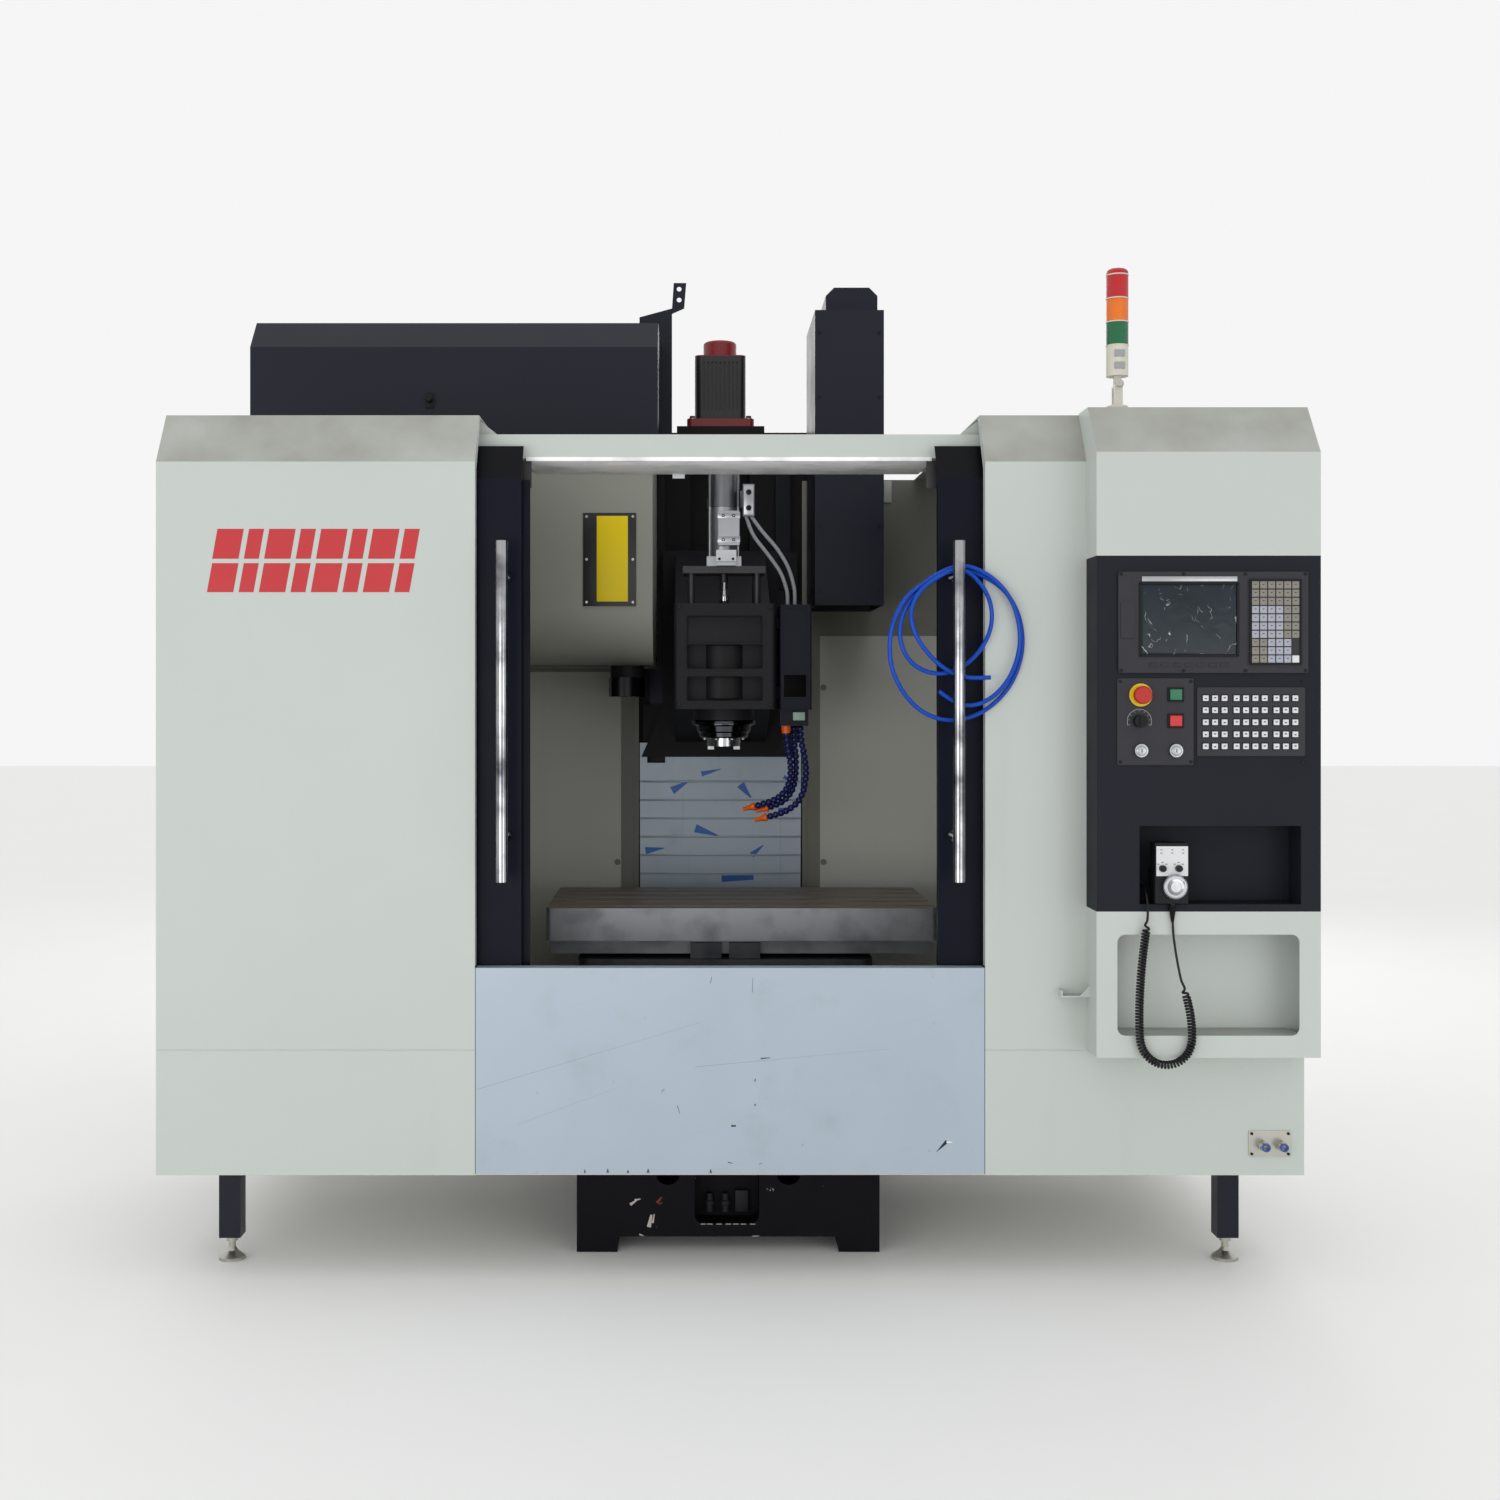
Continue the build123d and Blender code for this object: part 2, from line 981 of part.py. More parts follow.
# Drive motor of the vertical axis: red flange, finned body and red cap
with BuildPart() as z_motor:
    with BuildSketch(Plane.XY.offset(column_top)) as flange_outline:
        with Locations((0, motor_y)):
            RectangleRounded(motor_flange, motor_flange, 14)
    extrude(amount=motor_flange_h)
    flange_top = column_top + motor_flange_h
    with BuildSketch(Plane.XY.offset(flange_top)) as body_outline:
        with Locations((0, motor_y)):
            RectangleRounded(motor_body, motor_body, 20)
    extrude(amount=motor_top - flange_top)
    fin_pitch = (motor_body - 40) / motor_fins
    for number in range(motor_fins):
        groove = (number - (motor_fins - 1) / 2) * fin_pitch
        half_body = motor_body / 2
        for side in (-1, 1):
            y0, y1 = sorted((motor_y + side * half_body, motor_y + side * (half_body - motor_fin_depth)))
            box(groove - 3, groove + 3, y0, y1, flange_top + 30, motor_top - 20, Mode.SUBTRACT)
            x0, x1 = sorted((side * half_body, side * (half_body - motor_fin_depth)))
            box(
                x0,
                x1,
                motor_y + groove - 3,
                motor_y + groove + 3,
                flange_top + 30,
                motor_top - 20,
                Mode.SUBTRACT,
            )
    rod_z(0, motor_y, motor_cap_r, motor_top, motor_cap_top)
    cap_rim = z_motor.faces().sort_by(Axis.Z)[-1].edges()
    fillet(cap_rim, radius=8)
keep(z_motor.part, "z_motor")


def door_outline(inset):
    """The door skin's Y-Z section: a vertical sheet with a leaning top."""
    slant = inset * bevel_ease
    return [
        (door_front, door_bottom),
        (door_front, door_bend_z),
        (door_front + door_bevel, door_top),
        (door_front + door_bevel + inset, door_top),
        (door_front + inset, door_bend_z - slant),
        (door_front + inset, door_bottom),
    ]


def sliding_door(side, name):
    """A door skin with flanges along its edges and a window; side -1 is the left door."""
    lead = side * door_open
    trail = side * (door_open + door_width)
    with BuildPart() as door:
        x0, x1 = sorted((lead, trail))
        along_x(door_outline(sheet), x0, x1)
        door_back = door_front + door_depth
        for edge in (x0, x1 - sheet):
            box(edge, edge + sheet, door_front, door_back, door_bottom, door_bend_z)
        box(x0, x1, door_front, door_front + door_depth - lip_setback, door_bottom, door_bottom + sheet)
        if side < 0:
            lip_front = door_back + lip_setback
            box(lead - sheet, lead, door_front, lip_front + sheet, door_bottom, door_bend_z)
            box(lead - sheet, lead + door_lip, lip_front, lip_front + sheet, door_bottom, door_bend_z)
        round_rect_y(
            x0 + window_margin,
            x1 - window_margin,
            window_low,
            window_high,
            window_corner,
            door_front,
            door_front + sheet,
            Mode.SUBTRACT,
        )
    keep(door.part, f"{name}_door")
    with BuildPart() as window:
        lap = window_margin - window_lap
        round_rect_y(
            x0 + lap,
            x1 - lap,
            window_low - window_lap,
            window_high + window_lap,
            window_corner,
            door_front + sheet,
            door_front + sheet + pane,
        )
    keep(window.part, f"{name}_window")
    with BuildPart() as handle:
        grip_x = side * handle_x
        rod_z(grip_x, handle_y, handle_r, handle_low, handle_high)
        for z in (standoff_low, standoff_high):
            rod_y(grip_x, z, standoff_r, handle_y, door_front)
            rod_y(grip_x, z, standoff_base_r, door_front - standoff_base, door_front)
        rod_z(grip_x, handle_y, handle_r - handle_wall, handle_low, handle_low + 30, Mode.SUBTRACT)
        rod_z(grip_x, handle_y, handle_r - handle_wall, handle_high - 30, handle_high, Mode.SUBTRACT)
    keep(handle.part, f"{name}_handle")


sliding_door(-1, "left")
sliding_door(1, "right")

# Coil of air hose over the right handle's upper standoff
coil_back = cover_front - coil_gap
inner_z = standoff_high + standoff_r - coil_inner_z
with BuildPart() as air_hose:
    with BuildSketch(Plane.XZ.offset(-coil_back)) as coil_outline:
        with Locations((handle_x, inner_z - (coil_outer_drop - coil_inner_z))):
            Ellipse(coil_outer_x, coil_outer_z)
        with Locations((handle_x, inner_z)):
            Ellipse(coil_inner_x, coil_inner_z, mode=Mode.SUBTRACT)
    extrude(amount=coil_thick)
keep(air_hose.part, "air_hose")

# Saddle: a casting on four bearing blocks, with four more for the table on top
saddle_y0 = spindle_y - saddle_length / 2
saddle_y1 = spindle_y + saddle_length / 2
rail_top = base_top + rail_h
with BuildPart() as saddle:
    with BuildSketch(Plane.XY.offset(saddle_low)) as saddle_plan:
        with Locations((0, spindle_y)):
            RectangleRounded(2 * saddle_half, saddle_length, saddle_corner)
    extrude(amount=saddle_high - saddle_low)
    for side in (-1, 1):
        for y in (saddle_y0 + block_length, saddle_y1 - block_length):
            rail_x = side * y_rail_x
            box(
                rail_x - car_w / 2,
                rail_x + car_w / 2,
                y - block_length / 2,
                y + block_length / 2,
                base_top + rail_h / 4,
                saddle_low,
            )
            box(
                rail_x - rail_w / 2 - run_gap,
                rail_x + rail_w / 2 + run_gap,
                y - block_length / 2,
                y + block_length / 2,
                base_top,
                rail_top + run_gap,
                Mode.SUBTRACT,
            )
        for car in (-1, 1):
            rail_y = spindle_y + side * x_rail_y
            car_mid = car * car_x
            box(
                car_mid - block_length / 2 + 15,
                car_mid + block_length / 2 - 15,
                rail_y - car_w / 2,
                rail_y + car_w / 2,
                saddle_high,
                table_top - table_thick - rail_h / 4,
            )
            box(
                car_mid - block_length / 2,
                car_mid + block_length / 2,
                rail_y - rail_w / 2 - run_gap,
                rail_y + rail_w / 2 + run_gap,
                table_top - table_thick - rail_h - run_gap,
                table_top - table_thick,
                Mode.SUBTRACT,
            )
keep(saddle.part, "saddle")

# Table with T-slots, on two rails
table_low = table_top - table_thick
with BuildPart() as table:
    with BuildSketch(Plane.XY.offset(table_low)) as table_plan:
        with Locations((table_mid_x, spindle_y)):
            RectangleRounded(table_length, table_width, table_corner)
    extrude(amount=table_thick)
    for number in range(slot_count):
        slot_y = spindle_y + (number - (slot_count - 1) / 2) * slot_pitch
        along_x(
            [
                (slot_y - slot_w / 2, table_top),
                (slot_y - slot_w / 2, table_top - slot_neck),
                (slot_y - slot_head_w / 2, table_top - slot_neck),
                (slot_y - slot_head_w / 2, table_top - slot_neck - slot_head),
                (slot_y + slot_head_w / 2, table_top - slot_neck - slot_head),
                (slot_y + slot_head_w / 2, table_top - slot_neck),
                (slot_y + slot_w / 2, table_top - slot_neck),
                (slot_y + slot_w / 2, table_top),
            ],
            table_left,
            table_left + table_length,
            Mode.SUBTRACT,
        )
    for side in (-1, 1):
        rail_y = spindle_y + side * x_rail_y
        box(
            table_left + 5,
            table_left + table_length - 5,
            rail_y - rail_w / 2,
            rail_y + rail_w / 2,
            table_low - rail_h,
            table_low,
        )
keep(table.part, "table")

# Head casting: a box around the spindle, a neck back to the slide, and a flared skirt
with BuildPart() as head_casting:
    along_x(
        [
            (head_front, head_low),
            (head_front, head_high),
            (head_neck_y, head_high),
            (slide_front, head_root_high),
            (slide_front, slide_low),
            (head_neck_y, head_low),
        ],
        -head_half,
        head_half,
    )
    front_edges = head_casting.edges().filter_by(Axis.Z).group_by(Axis.Y)[0]
    fillet(front_edges, radius=10)
    box(
        -head_window_half,
        head_window_half,
        head_front,
        head_front + window_depth / 5,
        upper_window_mid,
        upper_window_high,
        Mode.SUBTRACT,
    )
    for low, high in ((upper_window_low, upper_window_mid), (lower_window_low, lower_window_high)):
        box(
            -head_window_half,
            head_window_half,
            head_front,
            head_front + window_depth,
            low,
            high,
            Mode.SUBTRACT,
        )
    box(-slide_half, slide_half, slide_front, column_front - rail_h - 22, slide_low, slide_high)
    for side in (-1, 1):
        for z in (slide_low + block_length / 2, slide_high - block_length / 2):
            rail_x = side * z_rail_x
            box(
                rail_x - block_w / 2,
                rail_x + block_w / 2,
                column_front - rail_h - 22,
                column_front - rail_h / 4,
                z - block_length / 2,
                z + block_length / 2,
            )
            box(
                rail_x - rail_w / 2 - run_gap,
                rail_x + rail_w / 2 + run_gap,
                column_front - rail_h - run_gap,
                column_front,
                z - block_length / 2,
                z + block_length / 2,
                Mode.SUBTRACT,
            )
    along_y(
        [
            (-slide_half, head_low),
            (slide_half, head_low),
            (skirt_half_low, skirt_low),
            (-skirt_half_low, skirt_low),
        ],
        skirt_back - skirt_thick,
        skirt_back,
    )
    rod_z(0, spindle_y, housing_r, head_low - housing_h, head_low)
    rod_z(
        0,
        spindle_y,
        spindle_r + spindle_fit,
        head_low - housing_h,
        head_high,
        Mode.SUBTRACT,
    )
keep(head_casting.part, "head_casting")

# Spindle: the turning nose with its taper and drive keys, on a shaft through the head
nose_top = head_low - housing_h - run_gap
with BuildPart() as spindle:
    turned_z(
        [
            (0, nose_z + taper_depth),
            (taper_r * 0.45, nose_z + taper_depth),
            (taper_r, nose_z),
            (nose_step_r, nose_z),
            (nose_step_r, nose_z + nose_step_h),
            (nose_r, nose_z + nose_step_h),
            (nose_r, nose_top),
            (spindle_r, nose_top),
            (spindle_r, head_high),
            (0, head_high),
        ],
        0,
        spindle_y,
    )
    for side in (-1, 1):
        key_x0, key_x1 = sorted((side * (taper_r + 4), side * (nose_step_r - 2)))
        box(key_x0, key_x1, spindle_y - 8, spindle_y + 8, nose_z - 9, nose_z)
keep(spindle.part, "spindle")

# Drawbar cylinder: bracket on two pillars, rod, cylinder with its band, and valve blocks
with BuildPart() as unclamp_cylinder:
    bracket_top = cyl_plate_z + cyl_plate_h
    box(
        -cyl_plate_half,
        cyl_plate_half,
        spindle_y - 60,
        spindle_y + 60,
        cyl_plate_z,
        bracket_top,
    )
    for side in (-1, 1):
        for y in (spindle_y - 42, spindle_y + 42):
            rod_z(side * pillar_x, y, pillar_r, head_high, cyl_plate_z)
    rod_z(0, spindle_y, drawbar_r, head_high + run_gap, cyl_plate_z)
    box(-cyl_r - 4, cyl_r + 4, spindle_y - 46, spindle_y + 46, bracket_top, bracket_top + cyl_block_h)
    rod_z(0, spindle_y, cyl_r, bracket_top + cyl_block_h, cyl_top)
    rod_z(0, spindle_y, cyl_r + 3, cyl_band_low, cyl_band_high)
    for side in (-1, 1):
        rod_z(side * tie_rod, spindle_y - tie_rod, tie_rod_r, bracket_top + cyl_block_h, cyl_top - 20)
    box(valve_left, valve_right, spindle_y - cyl_r - 40, spindle_y - cyl_r + 10, valve_low, valve_high)
    box(valve_left - 4, valve_right - 10, spindle_y - cyl_r - 34, spindle_y - cyl_r + 10, bracket_top, valve_step)
keep(unclamp_cylinder.part, "unclamp_cylinder")

# Box on the head's side, with the coolant manifold under it
side_box_back = side_box_front + side_box_depth
manifold_low = side_box_low - manifold_h
with BuildPart() as head_side_box:
    box(side_box_left, side_box_right, side_box_front, side_box_back, side_box_low, side_box_high)
    outer_edges = head_side_box.edges().filter_by(Axis.Z)
    fillet(outer_edges, radius=5)
    box(
        side_box_left + 10,
        side_box_right - 15,
        side_box_front,
        side_box_front + 12,
        side_box_low + 34,
        side_box_low + 92,
        Mode.SUBTRACT,
    )
    for z in (side_box_low + 30, side_box_high - 60):
        box(head_half, side_box_left, side_box_front + 60, side_box_back - 30, z, z + 30)
    box(side_box_left, side_box_right - 8, side_box_front + 10, side_box_front + 90, manifold_low, side_box_low)
keep(head_side_box.part, "head_side_box")


def bend_radii(points):
    """Each corner's radius: as large as its two runs allow."""
    radii = []
    for before, corner, after in zip(points, points[1:], points[2:]):
        run_in = Vector(*corner) - Vector(*before)
        run_out = Vector(*after) - Vector(*corner)
        turn = math.radians(run_in.get_angle(run_out))
        shorter = min(run_in.length, run_out.length)
        radii.append(0.45 * shorter / math.tan(turn / 2))
    return radii


def tube(points, radius):
    """A round tube along straight runs joined by tangent arcs."""
    with BuildLine() as route:
        FilletPolyline(*points, radius=bend_radii(points))
    start = Plane(origin=route.wire() @ 0, z_dir=route.wire() % 0)
    with BuildSketch(start) as section:
        Circle(radius)
    sweep(section.sketch, path=route.wire())
    return route.wire()


# Segmented coolant hoses: beads on a core, ending in orange nozzles
hose_core_r = 6.5
bead_r = 8.8
bead_length = 9.0
bead_pitch = 13.0
nozzle_length = 34.0
nozzle_tip_r = 3.2
hose_y = side_box_front + 45
hose_routes = (
    (
        (164, hose_y, manifold_low),
        (164, hose_y, manifold_low - 32),
        (172, hose_y, 1172),
        (178, hose_y + 4, 1134),
        (172, hose_y + 10, 1087),
        (147, hose_y + 18, 1056),
        (112, hose_y + 26, 1040),
        (78, hose_y + 34, 1031),
    ),
    (
        (202, hose_y, manifold_low),
        (202, hose_y, manifold_low - 32),
        (213, hose_y, 1168),
        (219, hose_y + 3, 1116),
        (207, hose_y + 8, 1058),
        (177, hose_y + 14, 1026),
        (140, hose_y + 20, 1010),
        (108, hose_y + 26, 1002),
    ),
)
with BuildPart() as coolant_hoses:
    for points in hose_routes:
        wire = tube(points, hose_core_r)
        beads = int(wire.length / bead_pitch)
        for number in range(1, beads):
            share = number * bead_pitch / wire.length
            with BuildSketch(Plane(origin=wire @ share, z_dir=wire % share)) as bead:
                Circle(bead_r)
            extrude(bead.sketch, amount=bead_length / 2, both=True)
        tip_plane = Plane(origin=wire @ 1, z_dir=wire % 1)
        with BuildSketch(tip_plane) as nozzle_root:
            Circle(bead_r)
        with BuildSketch(tip_plane.offset(nozzle_length)) as nozzle_tip:
            Circle(nozzle_tip_r)
        loft([nozzle_root.sketch.face(), nozzle_tip.sketch.face()])
keep(coolant_hoses.part, "coolant_hoses")

# Two grey cables from the terminal plate beside the cylinder to the side box
cable_r = 5.0
plate_x0 = 54.0
plate_x1 = 78.0
terminal_low = 1825.0
terminal_high = 1890.0
cable_front = spindle_y - 60
cable_routes = (
    (
        (plate_x1 - 6, cable_front, terminal_low - 20),
        (plate_x1 + 24, cable_front - 4, terminal_low - 62),
        (plate_x1 + 62, cable_front - 6, terminal_low - 104),
        (plate_x1 + 94, cable_front - 6, terminal_low - 156),
        (plate_x1 + 110, cable_front - 6, terminal_low - 214),
        (plate_x1 + 110, cable_front - 6, side_box_high),
    ),
    (
        (plate_x0 + 4, cable_front, terminal_low - 20),
        (plate_x0 + 22, cable_front - 10, terminal_low - 72),
        (plate_x0 + 62, cable_front - 16, terminal_low - 122),
        (plate_x0 + 98, cable_front - 16, terminal_low - 172),
        (plate_x0 + 114, cable_front - 16, terminal_low - 222),
        (plate_x0 + 114, cable_front - 16, side_box_high),
    ),
)
with BuildPart() as head_cables:
    for points in cable_routes:
        tube(points, cable_r)
    box(plate_x0 - 4, plate_x1 + 2, cable_front - 12, cable_front + 12, terminal_low - 20, terminal_high)
    box(cyl_r - 2, plate_x0, spindle_y - 6, spindle_y + 6, terminal_low + 10, terminal_high - 10)
    box(plate_x0 - 4, plate_x0 + 4, cable_front + 12, spindle_y + 6, terminal_low + 10, terminal_high - 10)
    rod_z(0, spindle_y, cyl_r + 3, terminal_low, terminal_high, Mode.SUBTRACT)
keep(head_cables.part, "head_cables")

# Telescopic cover plates: number 1 is fixed at the bottom, the last one moves with the head
for number in range(1, cover_plates + 1):
    steps = cover_plates - number
    plate_low = top_plate_edge - steps * plate_pitch
    plate_high = plate_low + plate_height
    face_y = skirt_back + steps * plate_layer
    back_y = face_y + plate_layer - run_gap
    sheet_y = face_y + plate_sheet
    if number == 1:
        plate_low = base_top
    with BuildPart() as cover_plate:
        along_x(
            [
                (face_y, plate_low),
                (face_y, plate_high),
                (back_y, plate_high),
                (back_y, plate_high - plate_sheet),
                (sheet_y, plate_high - plate_sheet),
                (sheet_y, plate_low + plate_wiper),
                (back_y, plate_low + plate_wiper),
                (back_y, plate_low),
            ],
            -plate_half,
            plate_half,
        )
    keep(cover_plate.part, f"z_cover_{number}")


def magazine_outline(inset, back):
    """The magazine cover's Y-Z section before its bottom corner is rounded."""
    front = mag_front + inset
    low = mag_low + inset
    high = mag_high - inset
    return [
        (front, low),
        (front, high - mag_top_chamfer),
        (front + mag_top_chamfer, high),
        (back, high),
        (back, low),
    ]


# Magazine cover: a folded shell with a rounded bottom, a sign plate and a slot for the pot
with BuildPart() as magazine_cover:
    for inset, x0, x1, back, mode in (
        (0, mag_left, mag_right, wall_front, Mode.ADD),
        (sheet, mag_left + sheet, mag_right - sheet, wall_front + 1, Mode.SUBTRACT),
    ):
        with BuildSketch(Plane.YZ.offset(x0)) as section:
            with BuildLine():
                Polyline(*magazine_outline(inset, back), close=True)
            make_face()
            bottom_front = section.vertices().group_by(Axis.Y)[0].sort_by(Axis.X)[0]
            fillet(bottom_front, radius=mag_corner - inset)
        extrude(section.sketch, amount=x1 - x0, mode=mode)
    box(
        mag_left + 18,
        mag_right - 12,
        mag_front + mag_corner,
        mag_y + 90,
        mag_low - 1,
        mag_low + sheet,
        Mode.SUBTRACT,
    )
    round_rect_y(sign_left, sign_right, sign_low, sign_high, 5, mag_front - sign_thick, mag_front)
keep(magazine_cover.part, "magazine_cover")

# Gearbox that turns the change arm, bolted to the cover's right end
with BuildPart() as arm_gearbox:
    box(gearbox_left, mag_right - sheet, gearbox_front, gearbox_back, gearbox_low, gearbox_high)
    top_edges = arm_gearbox.faces().sort_by(Axis.Z)[-1].edges()
    chamfer(top_edges, length=12)
    box(mag_right - 30, mag_right - sheet, gearbox_back, wall_front, gearbox_low + 20, gearbox_high - 20)
    rod_z(arm_x, arm_y, arm_hub_r - 4, arm_z + arm_thick + run_gap, gearbox_low)
    rod_x(mag_y, mag_z, disc_hub_r * 0.5, disc_x + disc_thick + 46, mag_right - sheet)
    box(disc_x + disc_thick + 46, mag_right - sheet, mag_y - 60, mag_y + 60, gearbox_high - 12, mag_z + 60)
    rod_x(mag_y, mag_z, 15, disc_x - 30, disc_x + disc_thick + 46)
    rod_z(arm_x, arm_y, arm_shaft_r + 0.05, arm_z, gearbox_low + 60, Mode.SUBTRACT)
keep(arm_gearbox.part, "arm_gearbox")

# Magazine disc with its pots; the pot at the bottom is the one that drops
with BuildPart() as magazine_disc:
    rod_x(mag_y, mag_z, disc_r, disc_x, disc_x + disc_thick)
    rod_x(mag_y, mag_z, disc_hub_r, disc_x - 28, disc_x + disc_thick + 24)
    for number in range(1, pot_count):
        angle = math.radians(-90 + number * 360 / pot_count)
        y = mag_y + pot_circle * math.cos(angle)
        z = mag_z + pot_circle * math.sin(angle)
        rod_x(y, z, pot_r, pot_mouth_x, pot_mouth_x + pot_length)
        rod_x(y, z, pot_r * 0.7, pot_mouth_x + pot_length, disc_x + disc_thick)
        rod_x(y, z, pot_bore_r, pot_mouth_x, pot_mouth_x + pot_length * 0.7, Mode.SUBTRACT)
    rod_x(mag_y, mag_z, 15.05, disc_x - 28, disc_x + disc_thick + 24, Mode.SUBTRACT)
    for side in (-1, 1):
        y0, y1 = sorted((mag_y + side * (pot_r + 0.5), mag_y + side * (pot_r + 8)))
        box(disc_x - 16, disc_x + disc_thick, y0, y1, pot_pivot_z - 9, mag_z - disc_r + 40)
    rod_x(mag_y, pot_z, pot_r + 6, disc_x - 60, disc_x - 16, Mode.SUBTRACT)
    box(
        disc_x - 16,
        disc_x + disc_thick,
        mag_y - pot_r - 0.5,
        mag_y + pot_r + 0.5,
        pot_pivot_z - 12,
        pot_z + pot_r + 12,
        Mode.SUBTRACT,
    )
    rod_y(pot_pivot_x, pot_pivot_z, 4.05, mag_y - pot_r - 9, mag_y + pot_r + 9, Mode.SUBTRACT)
keep(magazine_disc.part, "magazine_disc")

# The pot that flips down to hand over its tool
with BuildPart() as tool_pot:
    rod_x(mag_y, pot_z, pot_r, pot_mouth_x, pot_mouth_x + pot_length)
    box(
        pot_pivot_x - 8,
        pot_pivot_x + 8,
        mag_y - pot_r + 2,
        mag_y + pot_r - 2,
        pot_pivot_z - 8,
        pot_z,
    )
    rod_x(mag_y, pot_z, pot_bore_r, pot_mouth_x, pot_mouth_x + pot_length * 0.7, Mode.SUBTRACT)
    rod_y(pot_pivot_x, pot_pivot_z, 4, mag_y - pot_r - 8, mag_y + pot_r + 8)
keep(tool_pot.part, "tool_pot")

# Double change arm, parked fore and aft
with BuildPart() as change_arm:
    with BuildSketch(Plane.XY.offset(arm_z)) as arm_plan:
        with Locations((arm_x, arm_y)):
            Rectangle(2 * arm_waist, 2 * arm_reach)
            Circle(arm_hub_r)
        for end in (-1, 1):
            with Locations((arm_x, arm_y + end * arm_reach)):
                Circle(arm_claw_r)
        for end in (-1, 1):
            with Locations((arm_x + end * arm_grip_r * 0.4, arm_y + end * (arm_reach + 4))):
                Circle(arm_grip_r, mode=Mode.SUBTRACT)
            with Locations((arm_x + end * arm_claw_r, arm_y + end * (arm_reach + arm_grip_r * 0.2))):
                Rectangle(2 * arm_claw_r, arm_grip_r * 1.8, mode=Mode.SUBTRACT)
    extrude(amount=arm_thick)
    rod_z(arm_x, arm_y, arm_shaft_r, arm_z + arm_thick, gearbox_low + 50)
keep(change_arm.part, "change_arm")


def hood_outline(inset):
    """The control hood's Y-Z section, with its back cut along the cover's bevel."""
    slant = inset * bevel_ease
    lean = cover_bevel / (cover_top - cover_bend_z)
    roof_back = cover_front + cover_bevel
    top = hood_top - inset
    back = [
        (roof_back + inset, top),
        (roof_back + inset, cover_top),
        (cover_front, cover_bend_z),
        (cover_front, hood_bottom),
    ]
    if inset:
        back = [
            (roof_back + inset * 4, top),
            (roof_back + inset * 4, cover_top - 1),
            (cover_front + 1, cover_bend_z - lean),
            (cover_front + 1, hood_bottom + sheet),
        ]
    front = [
        (unit_front + inset, hood_bottom + inset),
        (unit_front + inset, hood_bend_z - slant),
        (unit_front + hood_bevel + slant, top),
    ]
    return front + back


# Hood of the control unit, open towards the cover that it hangs on
with BuildPart() as control_hood:
    along_x(hood_outline(0), unit_left, unit_right)
    along_x(hood_outline(sheet), unit_left + sheet, unit_right - sheet, Mode.SUBTRACT)
keep(control_hood.part, "control_hood")

# Black panel case with a recess for the hand pendant
with BuildPart() as panel_case:
    box(unit_left, unit_right, unit_front, cover_front, case_bottom, hood_bottom)
    box(
        unit_left + sheet,
        unit_right - sheet,
        unit_front + sheet,
        cover_front + 1,
        case_bottom + sheet,
        hood_bottom - sheet,
        Mode.SUBTRACT,
    )
    box(
        recess_x0 - sheet,
        recess_x1 + sheet,
        unit_front,
        unit_front + recess_in + sheet,
        recess_z0 - sheet,
        recess_z1 + sheet,
    )
    box(recess_x0, recess_x1, unit_front, unit_front + recess_in, recess_z0, recess_z1, Mode.SUBTRACT)
    for x, z, r in (
        (estop_x, estop_z, stem_r),
        (button_x, start_z, stem_r),
        (button_x, stop_z, stem_r),
        (knob_x, knob_z, stem_r),
    ):
        rod_y(x, z, r + stem_fit, unit_front, unit_front + sheet, Mode.SUBTRACT)
    rod_y(socket_x, socket_z, socket_r, unit_front + recess_in - socket_rise, unit_front + recess_in)
keep(panel_case.part, "panel_case")

# Cream tray box with its rounded opening and a small bracket on its left
with BuildPart() as tray_box:
    box(unit_left, unit_right, unit_front, cover_front, tray_bottom, case_bottom)
    box(
        unit_left + sheet,
        unit_right - sheet,
        unit_front + sheet,
        cover_front - sheet,
        tray_bottom + sheet,
        case_bottom - sheet,
        Mode.SUBTRACT,
    )
    round_rect_y(
        tray_left,
        tray_right,
        tray_low,
        tray_high,
        tray_corner,
        unit_front,
        unit_front + sheet,
        Mode.SUBTRACT,
    )
    box(
        tray_left - 4,
        tray_right + 4,
        unit_front,
        cover_front,
        tray_low - sheet,
        tray_low,
    )
    bracket_z = (bracket_low + bracket_high) / 2
    box(bracket_left, unit_left, cover_front - 34, cover_front, bracket_z - sheet, bracket_z)
    along_y(
        [
            (bracket_left, bracket_z - sheet),
            (bracket_left + 12, bracket_low),
            (unit_left, bracket_low),
            (unit_left, bracket_z - sheet),
        ],
        cover_front - sheet,
        cover_front,
    )
    box(bracket_left, bracket_left + sheet, cover_front - 34, cover_front, bracket_z, bracket_z + 12)
    along_y(
        [
            (unit_left - 22, bracket_z),
            (unit_left, bracket_high),
            (unit_left, bracket_z),
        ],
        cover_front - 34,
        cover_front - 34 + sheet,
    )
keep(tray_box.part, "tray_box")

